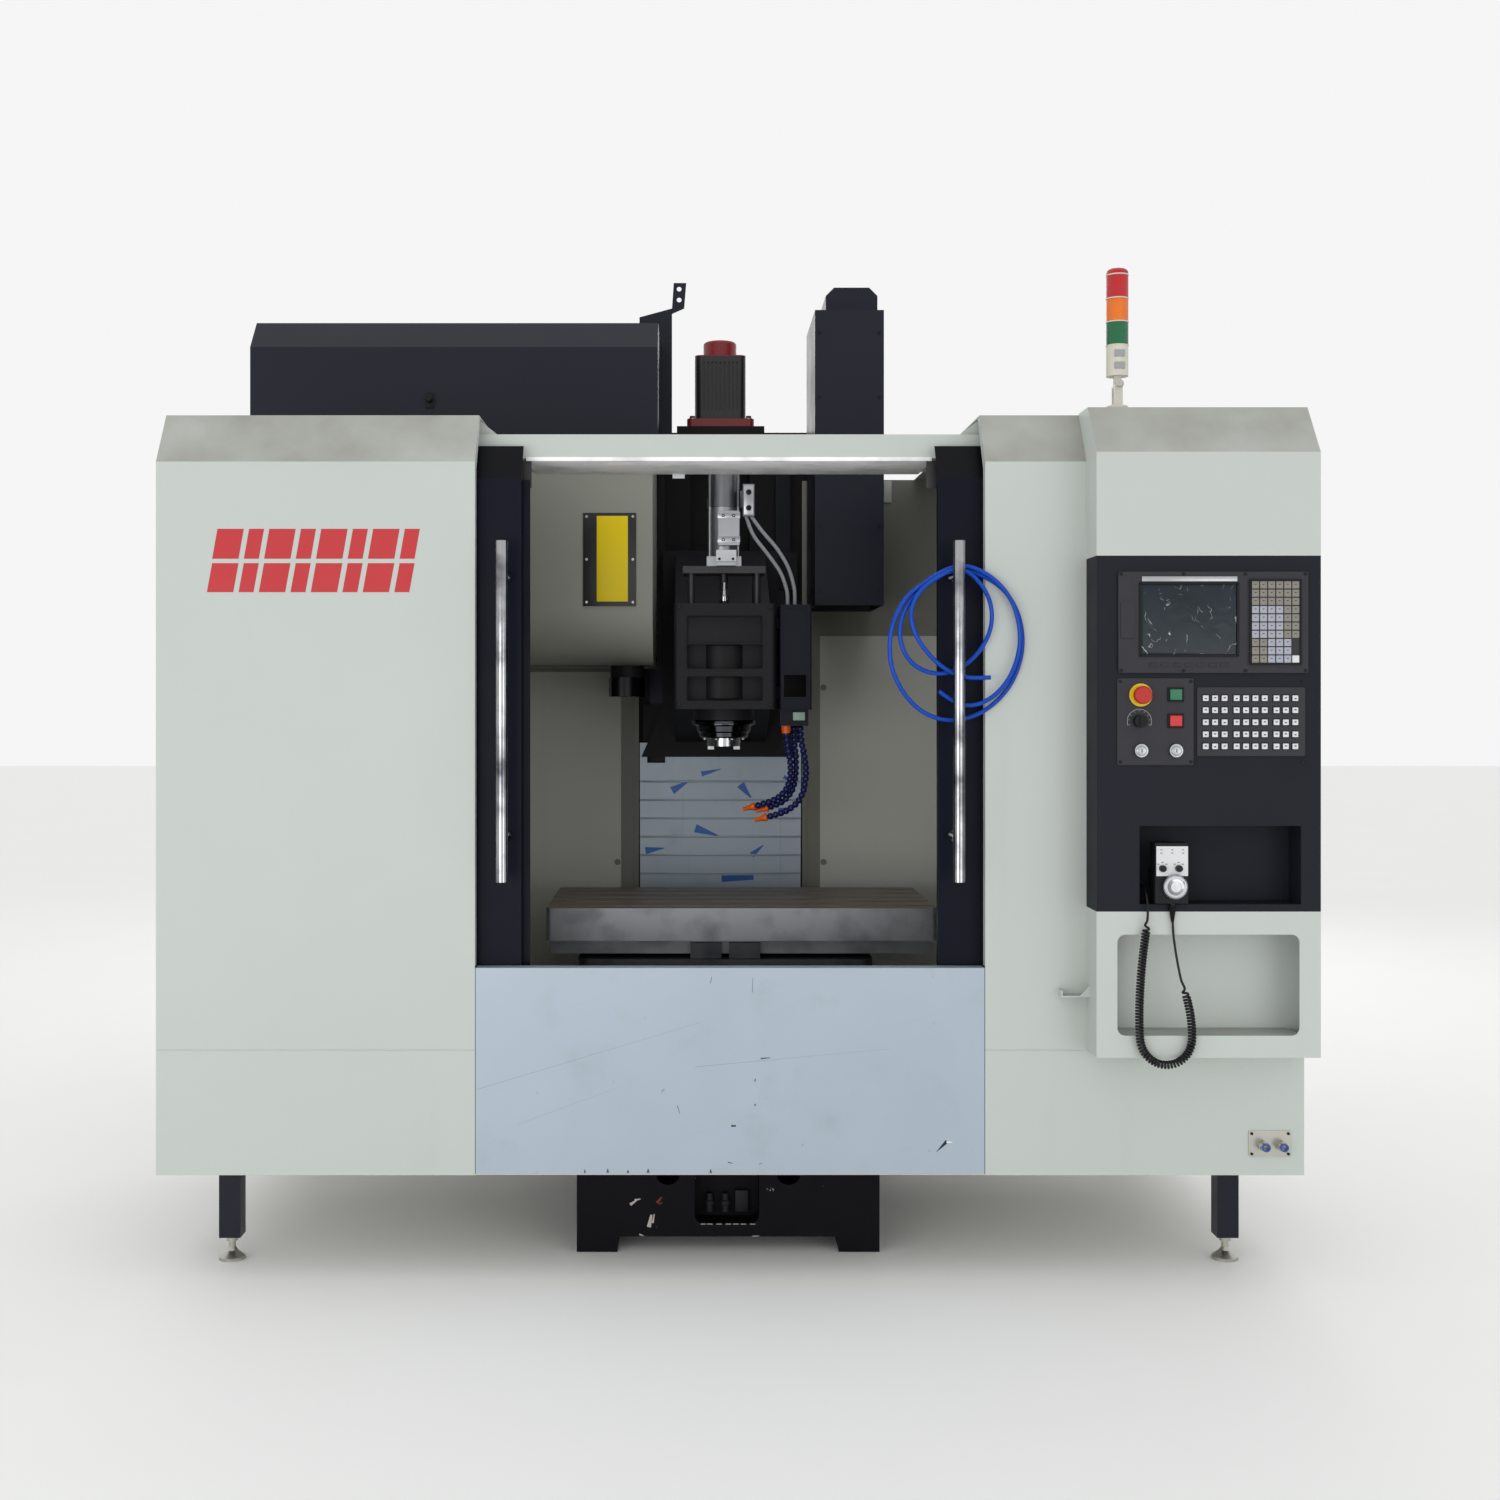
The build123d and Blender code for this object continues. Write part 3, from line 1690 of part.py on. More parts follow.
# Screen unit, switch plate and key plate on the case's front
with BuildPart() as panel_plates:
    round_rect_y(screen_left, screen_right, screen_low, screen_high, plate_corner, screen_face, unit_front)
    box(lcd_left, lcd_right, screen_face, plate_front, lcd_low, lcd_high, Mode.SUBTRACT)
    box(mdi_left, mdi_right, mdi_face, screen_face, mdi_low, mdi_high)
    box(card_left, card_right, mdi_face, screen_face, card_low, card_high)
    box(lcd_left, lcd_right, screen_face - 1, screen_face, lcd_high + strip_gap, lcd_high + strip_high)
    round_rect_y(switch_left, switch_right, switch_low, switch_high, plate_corner, plate_front, unit_front)
    round_rect_y(keys_left, keys_right, keys_low, keys_high, plate_corner, plate_front, unit_front)
    rod_y(estop_x, estop_z, estop_ring_r, plate_front - estop_ring, plate_front)
    for x, z in ((estop_x, estop_z), (button_x, start_z), (button_x, stop_z), (knob_x, knob_z)):
        rod_y(x, z, stem_r + stem_fit, plate_front - 1, unit_front, Mode.SUBTRACT)
    for x in (estop_x, button_x):
        rod_y(x, round_key_z, round_key_r, plate_front - round_key_rise, plate_front)
        rod_y(x, round_key_z, round_key_r - 4, plate_front - round_key_rise - 3, plate_front)
keep(panel_plates.part, "panel_plates")

# Keys of the screen unit and of the key plate
key_offsets = (18.2, 38.8, 59.9, 86.7, 107.3, 128.1, 148.7, 174.9, 195.5, 216.5)
key_row_top = 1320.0
key_row_pitch = 26.65
key_rows = 5
with BuildPart() as panel_keys:
    for x in [keys_left + offset for offset in key_offsets]:
        for row in range(key_rows):
            z = key_row_top - row * key_row_pitch
            half = key_size / 2
            box(x - half, x + half, plate_front - key_rise, plate_front, z - half, z + half)
    for column_number in range(mdi_columns):
        for row in range(mdi_rows):
            x = (mdi_left + mdi_right) / 2 + (column_number - (mdi_columns - 1) / 2) * mdi_pitch_x
            z = (mdi_low + mdi_high) / 2 + (row - (mdi_rows - 1) / 2) * mdi_pitch_z
            half = mdi_key / 2
            box(x - half, x + half, mdi_face - mdi_key_rise, mdi_face, z - half, z + half)
    for number in range(soft_key_count):
        x = (lcd_left + lcd_right) / 2 + (number - (soft_key_count - 1) / 2) * soft_key_pitch
        box(
            x - soft_key_half,
            x + soft_key_half,
            mdi_face,
            screen_face,
            soft_key_z - soft_key_tall,
            soft_key_z + soft_key_tall,
        )
keep(panel_keys.part, "panel_keys")

# Emergency stop: a mushroom on its stem; it is the front-most point of the machine
estop_face = -front_reach
with BuildPart() as estop_button:
    rod_y(estop_x, estop_z, estop_r, estop_face, estop_face + 12)
    mushroom_rim = estop_button.faces().sort_by(Axis.Y)[0].edges()
    fillet(mushroom_rim, radius=5)
    rod_y(estop_x, estop_z, estop_r - 6, estop_face + 12, plate_front - 6)
    rod_y(estop_x, estop_z, stem_r, plate_front - 6, unit_front + 20)
keep(estop_button.part, "estop_button")

# Start and stop buttons
for name, z in (("start_button", start_z), ("stop_button", stop_z)):
    with BuildPart() as push_button:
        cap_front = plate_front - button_rise
        box(
            button_x - button_w / 2,
            button_x + button_w / 2,
            cap_front,
            plate_front - 3.5,
            z - button_h / 2,
            z + button_h / 2,
        )
        cap_rim = push_button.faces().sort_by(Axis.Y)[0].edges()
        fillet(cap_rim, radius=1.5)
        rod_y(button_x, z, stem_r, plate_front - 3.5, unit_front + 12)
    keep(push_button.part, name)

# Feed override knob
with BuildPart() as override_knob:
    rod_y(knob_x, knob_z, knob_r, plate_front - knob_rise, plate_front - run_gap)
    box(
        knob_x - 3,
        knob_x + 3,
        plate_front - knob_rise - 3,
        plate_front - knob_rise,
        knob_z - knob_r + 2,
        knob_z + knob_r - 2,
    )
    rod_y(knob_x, knob_z, stem_r, plate_front - run_gap, unit_front + 12)
keep(override_knob.part, "override_knob")

# Hand pendant with two small knobs, standing in the recess
gland_x = pendant_left + 40
gland_y = pendant_front + gland_r - 1.5
with BuildPart() as pendant_body:
    box(
        pendant_left,
        pendant_right,
        pendant_front,
        pendant_front + pendant_thick,
        pendant_low,
        pendant_high,
    )
    fillet(pendant_body.edges().filter_by(Axis.Z), radius=5)
    for x in (pendant_left + pendant_knob_in, pendant_left + pendant_knob_out):
        rod_y(x, pendant_knob_z, pendant_knob_r, pendant_front - pendant_knob_rise, pendant_front)
    rod_z(gland_x, gland_y, gland_r, pendant_low - gland_h, pendant_low)
    rod_y(wheel_x, wheel_z, 5.05, pendant_front, pendant_front + 20, Mode.SUBTRACT)
    box(
        pendant_left + 10,
        pendant_right - 10,
        pendant_front + pendant_thick,
        unit_front + recess_in,
        pendant_low + 30,
        pendant_low + 70,
    )
keep(pendant_body.part, "pendant_body")

# Pulse wheel of the pendant, with a spinner dimple
with BuildPart() as pendant_wheel:
    rod_y(wheel_x, wheel_z, wheel_r, pendant_front - wheel_rise, pendant_front - run_gap)
    wheel_rim = pendant_wheel.faces().sort_by(Axis.Y)[0].edges()
    fillet(wheel_rim, radius=3)
    rod_y(wheel_x + 14, wheel_z + 8, 5, pendant_front - wheel_rise, pendant_front - wheel_rise + 3, Mode.SUBTRACT)
    rod_y(wheel_x, wheel_z, 5, pendant_front - run_gap, pendant_front + 19)
keep(pendant_wheel.part, "pendant_wheel")

# The pendant's curly cord: a thin lead, the curled stretch as one fat tube, and a thin lead back
cord_y = unit_front - 13
lead_out = (
    (gland_x, gland_y, pendant_low - gland_h),
    (gland_x, gland_y, 812),
    (gland_x + 6, cord_y, 755),
    (gland_x + 18, cord_y, 693),
)
curl_route = (
    (gland_x + 18, cord_y, 693),
    (gland_x + 33, cord_y, 650),
    (gland_x + 42, cord_y, 598),
    (gland_x + 42, cord_y, 544),
    (gland_x + 9, cord_y, 510),
    (gland_x - 38, cord_y, 510),
    (gland_x - 72, cord_y, 544),
    (gland_x - 75, cord_y, 600),
    (gland_x - 74, cord_y, 660),
    (gland_x - 69, cord_y, 735),
    (gland_x - 60, cord_y, 803),
)
lead_back = (
    (gland_x - 60, cord_y, 803),
    (gland_x - 56, cord_y - 2, 838),
    (socket_x, cord_y + 7, 875),
    (socket_x, cord_y + 34, socket_z),
    (socket_x, unit_front + recess_in - socket_rise, socket_z),
)
with BuildPart() as pendant_cord:
    tube(lead_out, cord_d / 2)
    tube(curl_route, curl_d / 2)
    tube(lead_back, cord_d / 2)
keep(pendant_cord.part, "pendant_cord")
for points in (lead_out, curl_route, lead_back):
    print("cord radii", [round(radius) for radius in bend_radii(points)])

# Air inlet plate with two fittings on the right cover
with BuildPart() as air_fittings:
    round_rect_y(air_left, air_right, air_low, air_high, 5, cover_front - air_plate, cover_front)
    for x in air_x:
        rod_y(x, air_z, air_r + 3, cover_front - air_collar, cover_front - air_plate)
        rod_y(x, air_z, air_r, cover_front - air_rise, cover_front - air_collar)
        rod_y(x, air_z, air_r - 3, cover_front - air_rise, cover_front - air_rise + air_bore, Mode.SUBTRACT)
keep(air_fittings.part, "air_fittings")

# Signal tower: a fixed foot with a fork, and the folding body with its lenses
with BuildPart() as tower_foot:
    rod_z(tower_x, tower_y, tower_r, hood_top, hood_top + tower_foot_h)
    foot_rim_edges = tower_foot.faces().sort_by(Axis.Z)[-1].edges()
    fillet(foot_rim_edges, radius=5)
    for side in (-1, 1):
        y0, y1 = sorted((tower_y + side * 6.3, tower_y + side * 12))
        box(tower_x - 10, tower_x + 10, y0, y1, hood_top + tower_foot_h - 6, tower_pivot_z)
        rod_y(tower_x, tower_pivot_z, 10, y0, y1)
    rod_y(tower_x, tower_pivot_z, 4.05, tower_y - 13, tower_y + 13, Mode.SUBTRACT)
keep(tower_foot.part, "tower_foot")

with BuildPart() as tower_body:
    rod_y(tower_x, tower_pivot_z, 10, tower_y - 6, tower_y + 6)
    rod_y(tower_x, tower_pivot_z, 4, tower_y - 14, tower_y + 14)
    box(tower_x - 8, tower_x + 8, tower_y - 6, tower_y + 6, tower_pivot_z, tower_body_low)
    rod_z(tower_x, tower_y, tower_r, tower_body_low, tower_body_high)
keep(tower_body.part, "tower_body")

with BuildPart() as tower_lenses:
    lens_top = tower_body_high + 3 * tower_lens_h
    for number in range(3):
        lens_low = tower_body_high + number * tower_lens_h
        rod_z(tower_x, tower_y, tower_r - 1, lens_low, lens_low + tower_lens_h)
        rod_z(tower_x, tower_y, tower_r, lens_low + 2, lens_low + tower_lens_h - 2)
    rod_z(tower_x, tower_y, tower_r, lens_top, lens_top + tower_cap_h)
    fillet(tower_lenses.faces().sort_by(Axis.Z)[-1].edges(), radius=10)
keep(tower_lenses.part, "tower_lenses")

# Electrical cabinet behind the column, with modules on its back plate and a hinged door
cabinet_front = column_back
cabinet_back = front_reach - cabinet_latch - cabinet_door
hinge_x = -cabinet_half - hinge_out
with BuildPart() as electrical_cabinet:
    box(-cabinet_half, cabinet_half, cabinet_front, cabinet_back, cabinet_low, cabinet_high)
    box(
        -cabinet_half + sheet,
        cabinet_half - sheet,
        cabinet_front + sheet,
        cabinet_back + 1,
        cabinet_low + sheet,
        cabinet_high - sheet,
        Mode.SUBTRACT,
    )
    for number in range(drive_count):
        x = drive_left + number * drive_pitch
        box(x, x + drive_w, cabinet_front + sheet, cabinet_front + drive_depth, drive_low, drive_high)
    for z in row_z:
        box(-row_half, row_half, cabinet_front + sheet, cabinet_front + row_depth, z, z + row_h)
    for z in hinge_z:
        rod_z(hinge_x, cabinet_back, hinge_r, z, z + hinge_knuckle)
        box(hinge_x, -cabinet_half, cabinet_back - hinge_r, cabinet_back - 1, z, z + hinge_knuckle)
        rod_z(hinge_x, cabinet_back, hinge_pin_r, z + hinge_knuckle, z + 2 * hinge_knuckle)
keep(electrical_cabinet.part, "electrical_cabinet")

with BuildPart() as cabinet_door_leaf:
    door_y0 = cabinet_back + run_gap
    door_y1 = front_reach - cabinet_latch
    box(-cabinet_half, cabinet_half, door_y0, door_y1, cabinet_low, cabinet_high)
    box(
        -cabinet_half + sheet,
        cabinet_half - sheet,
        door_y0 - 1,
        door_y1 - sheet,
        cabinet_low + sheet,
        cabinet_high - sheet,
        Mode.SUBTRACT,
    )
    box(cabinet_half - 60, cabinet_half - 30, door_y1, front_reach, latch_low, latch_high)
    for z in hinge_z:
        low = z + hinge_knuckle + run_gap
        high = z + 2 * hinge_knuckle + run_gap
        rod_z(hinge_x, cabinet_back, hinge_r, low, high)
        box(hinge_x, -cabinet_half, cabinet_back + 2, cabinet_back + hinge_r, low, high)
        rod_z(hinge_x, cabinet_back, hinge_pin_r + stem_fit, low, high, Mode.SUBTRACT)
keep(cabinet_door_leaf.part, "cabinet_door")
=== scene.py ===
import math

import bpy
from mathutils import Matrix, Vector


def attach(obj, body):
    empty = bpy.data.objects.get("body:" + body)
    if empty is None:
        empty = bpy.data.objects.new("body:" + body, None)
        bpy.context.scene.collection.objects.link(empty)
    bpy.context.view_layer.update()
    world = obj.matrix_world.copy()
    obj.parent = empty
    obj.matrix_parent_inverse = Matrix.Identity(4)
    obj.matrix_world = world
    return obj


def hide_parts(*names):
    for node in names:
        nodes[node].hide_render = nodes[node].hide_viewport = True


# Vertical machining centre, dressed on its CAD frame. Sizes in the calls below are millimetres, but places of
# camera and lights are metres, and so are the heights at which a finish changes.

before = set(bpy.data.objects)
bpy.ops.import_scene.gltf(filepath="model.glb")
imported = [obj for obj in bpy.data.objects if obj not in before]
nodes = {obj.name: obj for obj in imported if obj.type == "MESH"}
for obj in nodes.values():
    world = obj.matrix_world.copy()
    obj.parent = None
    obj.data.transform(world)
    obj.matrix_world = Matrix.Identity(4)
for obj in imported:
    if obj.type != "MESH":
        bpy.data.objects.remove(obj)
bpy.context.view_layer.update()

# Camera: the photograph is 1500 pixels square, taken from 5 m in front, a little left of the spindle
photo_px = 1500
focal_px = 1760
sensor_mm = 36
camera_data = bpy.data.cameras.new("camera")
camera_data.sensor_width = sensor_mm
camera_data.lens = focal_px / photo_px * sensor_mm
camera_data.shift_x = 60 / photo_px
camera_data.shift_y = -50 / photo_px
camera = bpy.data.objects.new("camera", camera_data)
camera.location = (-0.091, -5.05, 1.316)
camera.rotation_euler = (math.radians(90), 0, 0)
bpy.context.scene.collection.objects.link(camera)
bpy.context.scene.camera = camera
bpy.context.scene.view_settings.view_transform = "Standard"


def soft_light(name, place, target, size, watts):
    """A large rectangular studio light that faces its target."""
    data = bpy.data.lights.new(name, "AREA")
    data.shape = "RECTANGLE"
    data.size, data.size_y = size
    data.energy = watts
    lamp = bpy.data.objects.new(name, data)
    lamp.location = place
    lamp.rotation_euler = (Vector(target) - Vector(place)).to_track_quat("-Z", "Y").to_euler()
    bpy.context.scene.collection.objects.link(lamp)


soft_light("front_key", (-2.6, -6.2, 0.9), (0, -1.0, 0.9), (3.6, 1.6), 60)
soft_light("front_fill", (3.4, -6.0, 0.9), (0.3, -1.0, 0.8), (3.2, 1.6), 30)
soft_light("top_fill", (0.0, -1.2, 5.2), (0, -0.2, 1.0), (4.5, 3.5), 12)
soft_light("back_fill", (1.0, 5.0, 3.6), (0, 0.5, 1.2), (4.0, 3.0), 60)

world = bpy.data.worlds.new("studio")
bpy.context.scene.world = world
world.use_nodes = True
world.node_tree.nodes["Background"].inputs["Color"].default_value = (1, 1, 1, 1)
world.node_tree.nodes["Background"].inputs["Strength"].default_value = 0.92


def linear(code):
    """An sRGB hex colour as linear RGBA."""
    parts = [int(code[i : i + 2], 16) / 255 for i in (1, 3, 5)]
    return tuple(c / 12.92 if c <= 0.04045 else ((c + 0.055) / 1.055) ** 2.4 for c in parts) + (1.0,)


def add_node(tree, kind, inputs, take=0, **options):
    """Adds a node, sets its options, gives its inputs their values or links, and hands back one output."""
    node = tree.nodes.new(kind)
    for option, value in options.items():
        setattr(node, option, value)
    for socket, value in inputs.items():
        if isinstance(value, bpy.types.NodeSocket):
            tree.links.new(value, node.inputs[socket])
        else:
            node.inputs[socket].default_value = value
    return node.outputs[take]


def begin(name, constants):
    """A new material with its tree, its shader with these constants, and the object's own coordinates."""
    material = bpy.data.materials.new(name)
    material.use_nodes = True
    tree = material.node_tree
    shader = tree.nodes["Principled BSDF"]
    for socket, value in constants.items():
        shader.inputs[socket].default_value = value
    return material, tree, shader, add_node(tree, "ShaderNodeTexCoord", {}, "Object")


def per_metre(size_mm):
    """The texture scale at which one feature is about so many millimetres."""
    return 1000.0 / size_mm


def patched(tree, place, colour, tint, size_mm, detail, low=0.0, high=1.0, share=1.0, broken=0.5):
    """Lays a tint over a colour in patches of about this size, where their noise rises from low to high."""
    look = {"Vector": place, "Scale": per_metre(size_mm), "Detail": detail, "Roughness": broken}
    noise = add_node(tree, "ShaderNodeTexNoise", look)
    rise = {"Value": noise, "From Min": low, "From Max": high, "To Max": share}
    cover = add_node(tree, "ShaderNodeMapRange", rise)
    return add_node(tree, "ShaderNodeMixRGB", {"Fac": cover, "Color1": colour, "Color2": tint})


def banded(tree, place, height, below, above):
    """Changes the colour at a height in metres. Hands back the colour, and 1 above that height or 0 below."""
    level = add_node(tree, "ShaderNodeSeparateXYZ", {"Vector": place}, "Z")
    over = add_node(tree, "ShaderNodeMath", {0: level, 1: height}, operation="GREATER_THAN")
    return add_node(tree, "ShaderNodeMixRGB", {"Fac": over, "Color1": below, "Color2": above}), over


def marked(tree, place, colour, ink, marks):
    """Adds marks in an X-Z face that taper along their length: centre, slope, length and both widths, in mm."""
    for x, z, slope, length, wide, narrow in marks:
        angle = math.radians(slope)
        x_turned = x * math.cos(angle) + z * math.sin(angle)
        z_turned = z * math.cos(angle) - x * math.sin(angle)
        moved = (-x_turned / 1000, 0, -z_turned / 1000)
        axes = {"Vector": place, "Rotation": (0, angle, 0), "Location": moved}
        own = add_node(tree, "ShaderNodeMapping", axes)
        own_x = add_node(tree, "ShaderNodeSeparateXYZ", {"Vector": own}, "X")
        along = add_node(tree, "ShaderNodeMath", {0: own_x}, operation="ABSOLUTE")
        ended = add_node(tree, "ShaderNodeMath", {0: along, 1: length / 2000}, operation="LESS_THAN")
        taper = {"Value": own_x, "From Min": -length / 2000, "From Max": length / 2000}
        taper.update({"To Min": wide / 2000, "To Max": narrow / 2000})
        half = add_node(tree, "ShaderNodeMapRange", taper)
        across = add_node(tree, "ShaderNodeMath", {0: own_x.node.outputs["Z"]}, operation="ABSOLUTE")
        within = add_node(tree, "ShaderNodeMath", {0: across, 1: half}, operation="LESS_THAN")
        inside = add_node(tree, "ShaderNodeMath", {0: ended, 1: within}, operation="MULTIPLY")
        colour = add_node(tree, "ShaderNodeMixRGB", {"Fac": inside, "Color1": colour, "Color2": linear(ink)})
    return colour


def surfaced(tree, shader, colour, rough, relief, strength, depth_mm, wear=None):
    """Gives a shader its colour, its relief, and one roughness, or two between which wear moves it."""
    tree.links.new(colour, shader.inputs["Base Color"])
    if wear is None:
        shader.inputs["Roughness"].default_value = rough
    else:
        gloss = add_node(tree, "ShaderNodeMapRange", {"Value": wear, "To Min": rough[0], "To Max": rough[1]})
        tree.links.new(gloss, shader.inputs["Roughness"])
    bump = {"Strength": strength, "Distance": depth_mm / 1000, "Height": relief}
    tree.links.new(add_node(tree, "ShaderNodeBump", bump), shader.inputs["Normal"])


def enamel(name, main, shade, peel_mm, depth_mm, rough, streak=0, dust=0, top_dust_and_shade=False, gleam=0.5, band=None):
    """Stoved enamel: a thick even coat with orange peel, a slow change of tone and a little handling dirt."""
    material, tree, shader, place = begin(name, {"Specular IOR Level": gleam})
    colour = patched(tree, place, linear(main), linear(shade), 700, 3)
    if streak:
        drawn_down = (per_metre(60), per_metre(60), per_metre(900))
        drip = add_node(tree, "ShaderNodeMapping", {"Vector": place, "Scale": drawn_down})
        colour = patched(tree, drip, colour, linear("#8E8B80"), 1000, 4, 0.58, 0.8, streak)
    if dust:
        height = add_node(tree, "ShaderNodeSeparateXYZ", {"Vector": place}, "Z")
        fall = {"Value": height, "From Min": 0.55, "From Max": 0.0, "To Max": dust}
        low = add_node(tree, "ShaderNodeMapRange", fall)
        dusty = {"Fac": low, "Color1": colour, "Color2": linear("#A7A498")}
        colour = add_node(tree, "ShaderNodeMixRGB", dusty)
    if top_dust_and_shade:
        # Dust lies in uneven patches where the sheet faces up; the same darker tone is also painted shade on
        # these upward faces
        upward = add_node(tree, "ShaderNodeSeparateXYZ", {"Vector": place.node.outputs["Normal"]}, "Z")
        patches = add_node(tree, "ShaderNodeTexNoise", {"Vector": place, "Scale": per_metre(180), "Detail": 5})
        lying = {"Value": upward, "From Min": 0.1, "From Max": 0.5, "To Max": patches}
        share = add_node(tree, "ShaderNodeMapRange", lying)
        dusted_and_shaded = {"Fac": share, "Color1": colour, "Color2": linear("#7A776C")}
        colour = add_node(tree, "ShaderNodeMixRGB", dusted_and_shaded)
    if band:
        colour = banded(tree, place, band[0], colour, linear(band[1]))[0]
    wear = add_node(tree, "ShaderNodeTexNoise", {"Vector": place, "Scale": per_metre(120), "Detail": 4})
    peel = add_node(tree, "ShaderNodeTexNoise", {"Vector": place, "Scale": per_metre(peel_mm), "Detail": 2})
    surfaced(tree, shader, colour, (rough - 0.07, rough + 0.09), peel, 0.6, depth_mm, wear)
    return material


# Knocks on the base's front, left of the recess: pale ones, and two that show the red primer
sling_chips = [
    (-226, 118, 35, 18, 7, 3), (-216, 125, 10, 14, 5, 2), (-186, 74, 78, 30, 10, 5), (-178, 80, 80, 22, 5, 2),
    (-206, 40, -20, 12, 4, 1), (66, 38, 4, 16, 3, 1),
]
primer_chips = [(-164, 124, 50, 18, 7, 3), (-161, 116, 20, 9, 4, 2)]


def cast_paint(name, main, shade, grit_mm, depth_mm, rough, chips=False, gleam=0.15):
    """Brushed paint on filled cast iron: slow waves, sandy grit, and bare chips where it was knocked."""
    material, tree, shader, place = begin(name, {"Specular IOR Level": gleam})
    colour = patched(tree, place, linear(main), linear(shade), 160, 5)
    if chips:
        colour = patched(tree, place, colour, linear("#9A948C"), 55, 6, 0.695, 0.705, 1.0, 0.7)
        colour = marked(tree, place, colour, "#B5AAA4", sling_chips)
        colour = marked(tree, place, colour, "#6E3532", primer_chips)
    grit = add_node(tree, "ShaderNodeTexNoise", {"Vector": place, "Scale": per_metre(grit_mm), "Detail": 3})
    wave = add_node(tree, "ShaderNodeTexNoise", {"Vector": place, "Scale": per_metre(45), "Detail": 1})
    relief = add_node(tree, "ShaderNodeMath", {0: grit, 1: wave}, operation="ADD")
    surfaced(tree, shader, colour, rough, relief, 0.7, depth_mm)
    return material


def worked_metal(name, main, shade, rough, lay_mm, lay_axis, depth_mm=0.02, spot=0.25, metallic=1.0, coat=None):
    """Bare metal with the lines that grinding or brushing leaves along one axis, and darker patches: slight
    staining, and on the polished tube and the filmed strip painted reflections.
    """
    material, tree, shader, place = begin(name, {"Metallic": metallic})
    scale = [per_metre(lay_mm)] * 3
    scale[lay_axis] = per_metre(lay_mm * 60)
    lay = add_node(tree, "ShaderNodeMapping", {"Vector": place, "Scale": scale})
    lines = add_node(tree, "ShaderNodeTexNoise", {"Vector": lay, "Scale": 1.0, "Detail": 4})
    colour = patched(tree, place, linear(main), linear(shade), 90, 5, 0.45, 0.75, spot)
    if coat:
        colour, coated = banded(tree, place, coat[0], colour, linear(coat[1]))
        bare = add_node(tree, "ShaderNodeMapRange", {"Value": coated, "To Min": 0.7, "To Max": 0.05})
        tree.links.new(bare, shader.inputs["Metallic"])
    surfaced(tree, shader, colour, (max(0.03, rough - 0.08), rough + 0.1), lines, 0.35, depth_mm, lines)
    return material


def moulded(name, main, rough, grain_mm=0.8, depth_mm=0.03, gleam=0.4):
    """Injection-moulded plastic with its spark-eroded grain and a slight cloudiness in the colour."""
    material, tree, shader, place = begin(name, {"Specular IOR Level": gleam})
    dull = tuple(c * 0.86 for c in linear(main)[:3]) + (1.0,)
    colour = patched(tree, place, linear(main), dull, 40, 2)
    grain = add_node(tree, "ShaderNodeTexNoise", {"Vector": place, "Scale": per_metre(grain_mm), "Detail": 2})
    surfaced(tree, shader, colour, (rough - 0.05, rough + 0.08), grain, 0.4, depth_mm, grain)
    return material


def filmed_steel(name, main, shade, scratch_angle, scratch_share, marks):
    """Stainless sheet under its pale protective film: blue-grey, satin, softly rippled and scuffed."""
    material, tree, shader, place = begin(name, {"Metallic": 0.2})
    colour = patched(tree, place, linear(main), linear(shade), 260, 3)
    slope = {"Vector": place, "Rotation": (0, math.radians(scratch_angle), 0)}
    leant = add_node(tree, "ShaderNodeMapping", slope)
    drawn_out = (per_metre(700), per_metre(700), per_metre(9))
    slanted = add_node(tree, "ShaderNodeMapping", {"Vector": leant, "Scale": drawn_out})
    # Scuffs along the slant, then small grime and cloudy stains
    colour = patched(tree, slanted, colour, linear("#7C8791"), 1000, 5, 0.62, 0.70, scratch_share, 0.7)
    colour = patched(tree, place, colour, linear("#59626B"), 26, 5, 0.69, 0.76, 0.55, 0.65)
    colour = patched(tree, place, colour, linear("#97A1A8"), 110, 4, 0.6, 0.78, 0.4)
    for ink, places in marks:
        colour = marked(tree, place, colour, ink, places)
    wear = add_node(tree, "ShaderNodeTexNoise", {"Vector": place, "Scale": per_metre(35), "Detail": 4})
    ripple = add_node(tree, "ShaderNodeTexNoise", {"Vector": place, "Scale": per_metre(18), "Detail": 3})
    surfaced(tree, shader, colour, (0.26, 0.42), ripple, 0.35, 0.3, wear)
    return material


# Stoved cream enamel on folded sheet: pale, semi-gloss, faint orange peel, a little dirt low down, dust and
# painted shade on top
cream = enamel("stoved_cream_enamel", "#BEC4BF", "#B7BDB8", 2.2, 0.03, 0.42, 0.07, 0.04, True, 0.35)
# The same enamel inside the enclosure, dulled by oil mist, and coloured lighter than the outer enamel as
# painted light on the lower walls
inner_cream_painted_light = enamel("oil_dulled_inner_enamel_painted_light", "#CACBC2", "#C1C2B9", 2.2, 0.03, 0.5, 0.05, gleam=0.25)
# The wall behind the splash panel: a darker copy of the inner enamel, as painted shade where it lies out of the
# light
shaded_wall_cream = enamel("wall_enamel_painted_shade", "#8A8981", "#807F77", 2.2, 0.03, 0.5, 0.08, gleam=0.2)
# The magazine cover's enamel, a greyer copy of the inner enamel as painted shade
shaded_magazine_cream = enamel("magazine_cover_enamel_painted_shade", "#93948B", "#898A81", 2.2, 0.03, 0.5, 0.04, gleam=0.22)
# The same enamel on the cabinet, cleaner and a little yellower
cabinet_cream = enamel("stoved_cabinet_enamel", "#C6C7BC", "#BDBEB3", 2.2, 0.03, 0.45, gleam=0.35)
# Navy-black enamel of legs, guard and duct: almost black, with a blue sheen on the flats
navy = enamel("navy_black_enamel", "#1A1D2B", "#131622", 1.6, 0.025, 0.36, gleam=0.22)
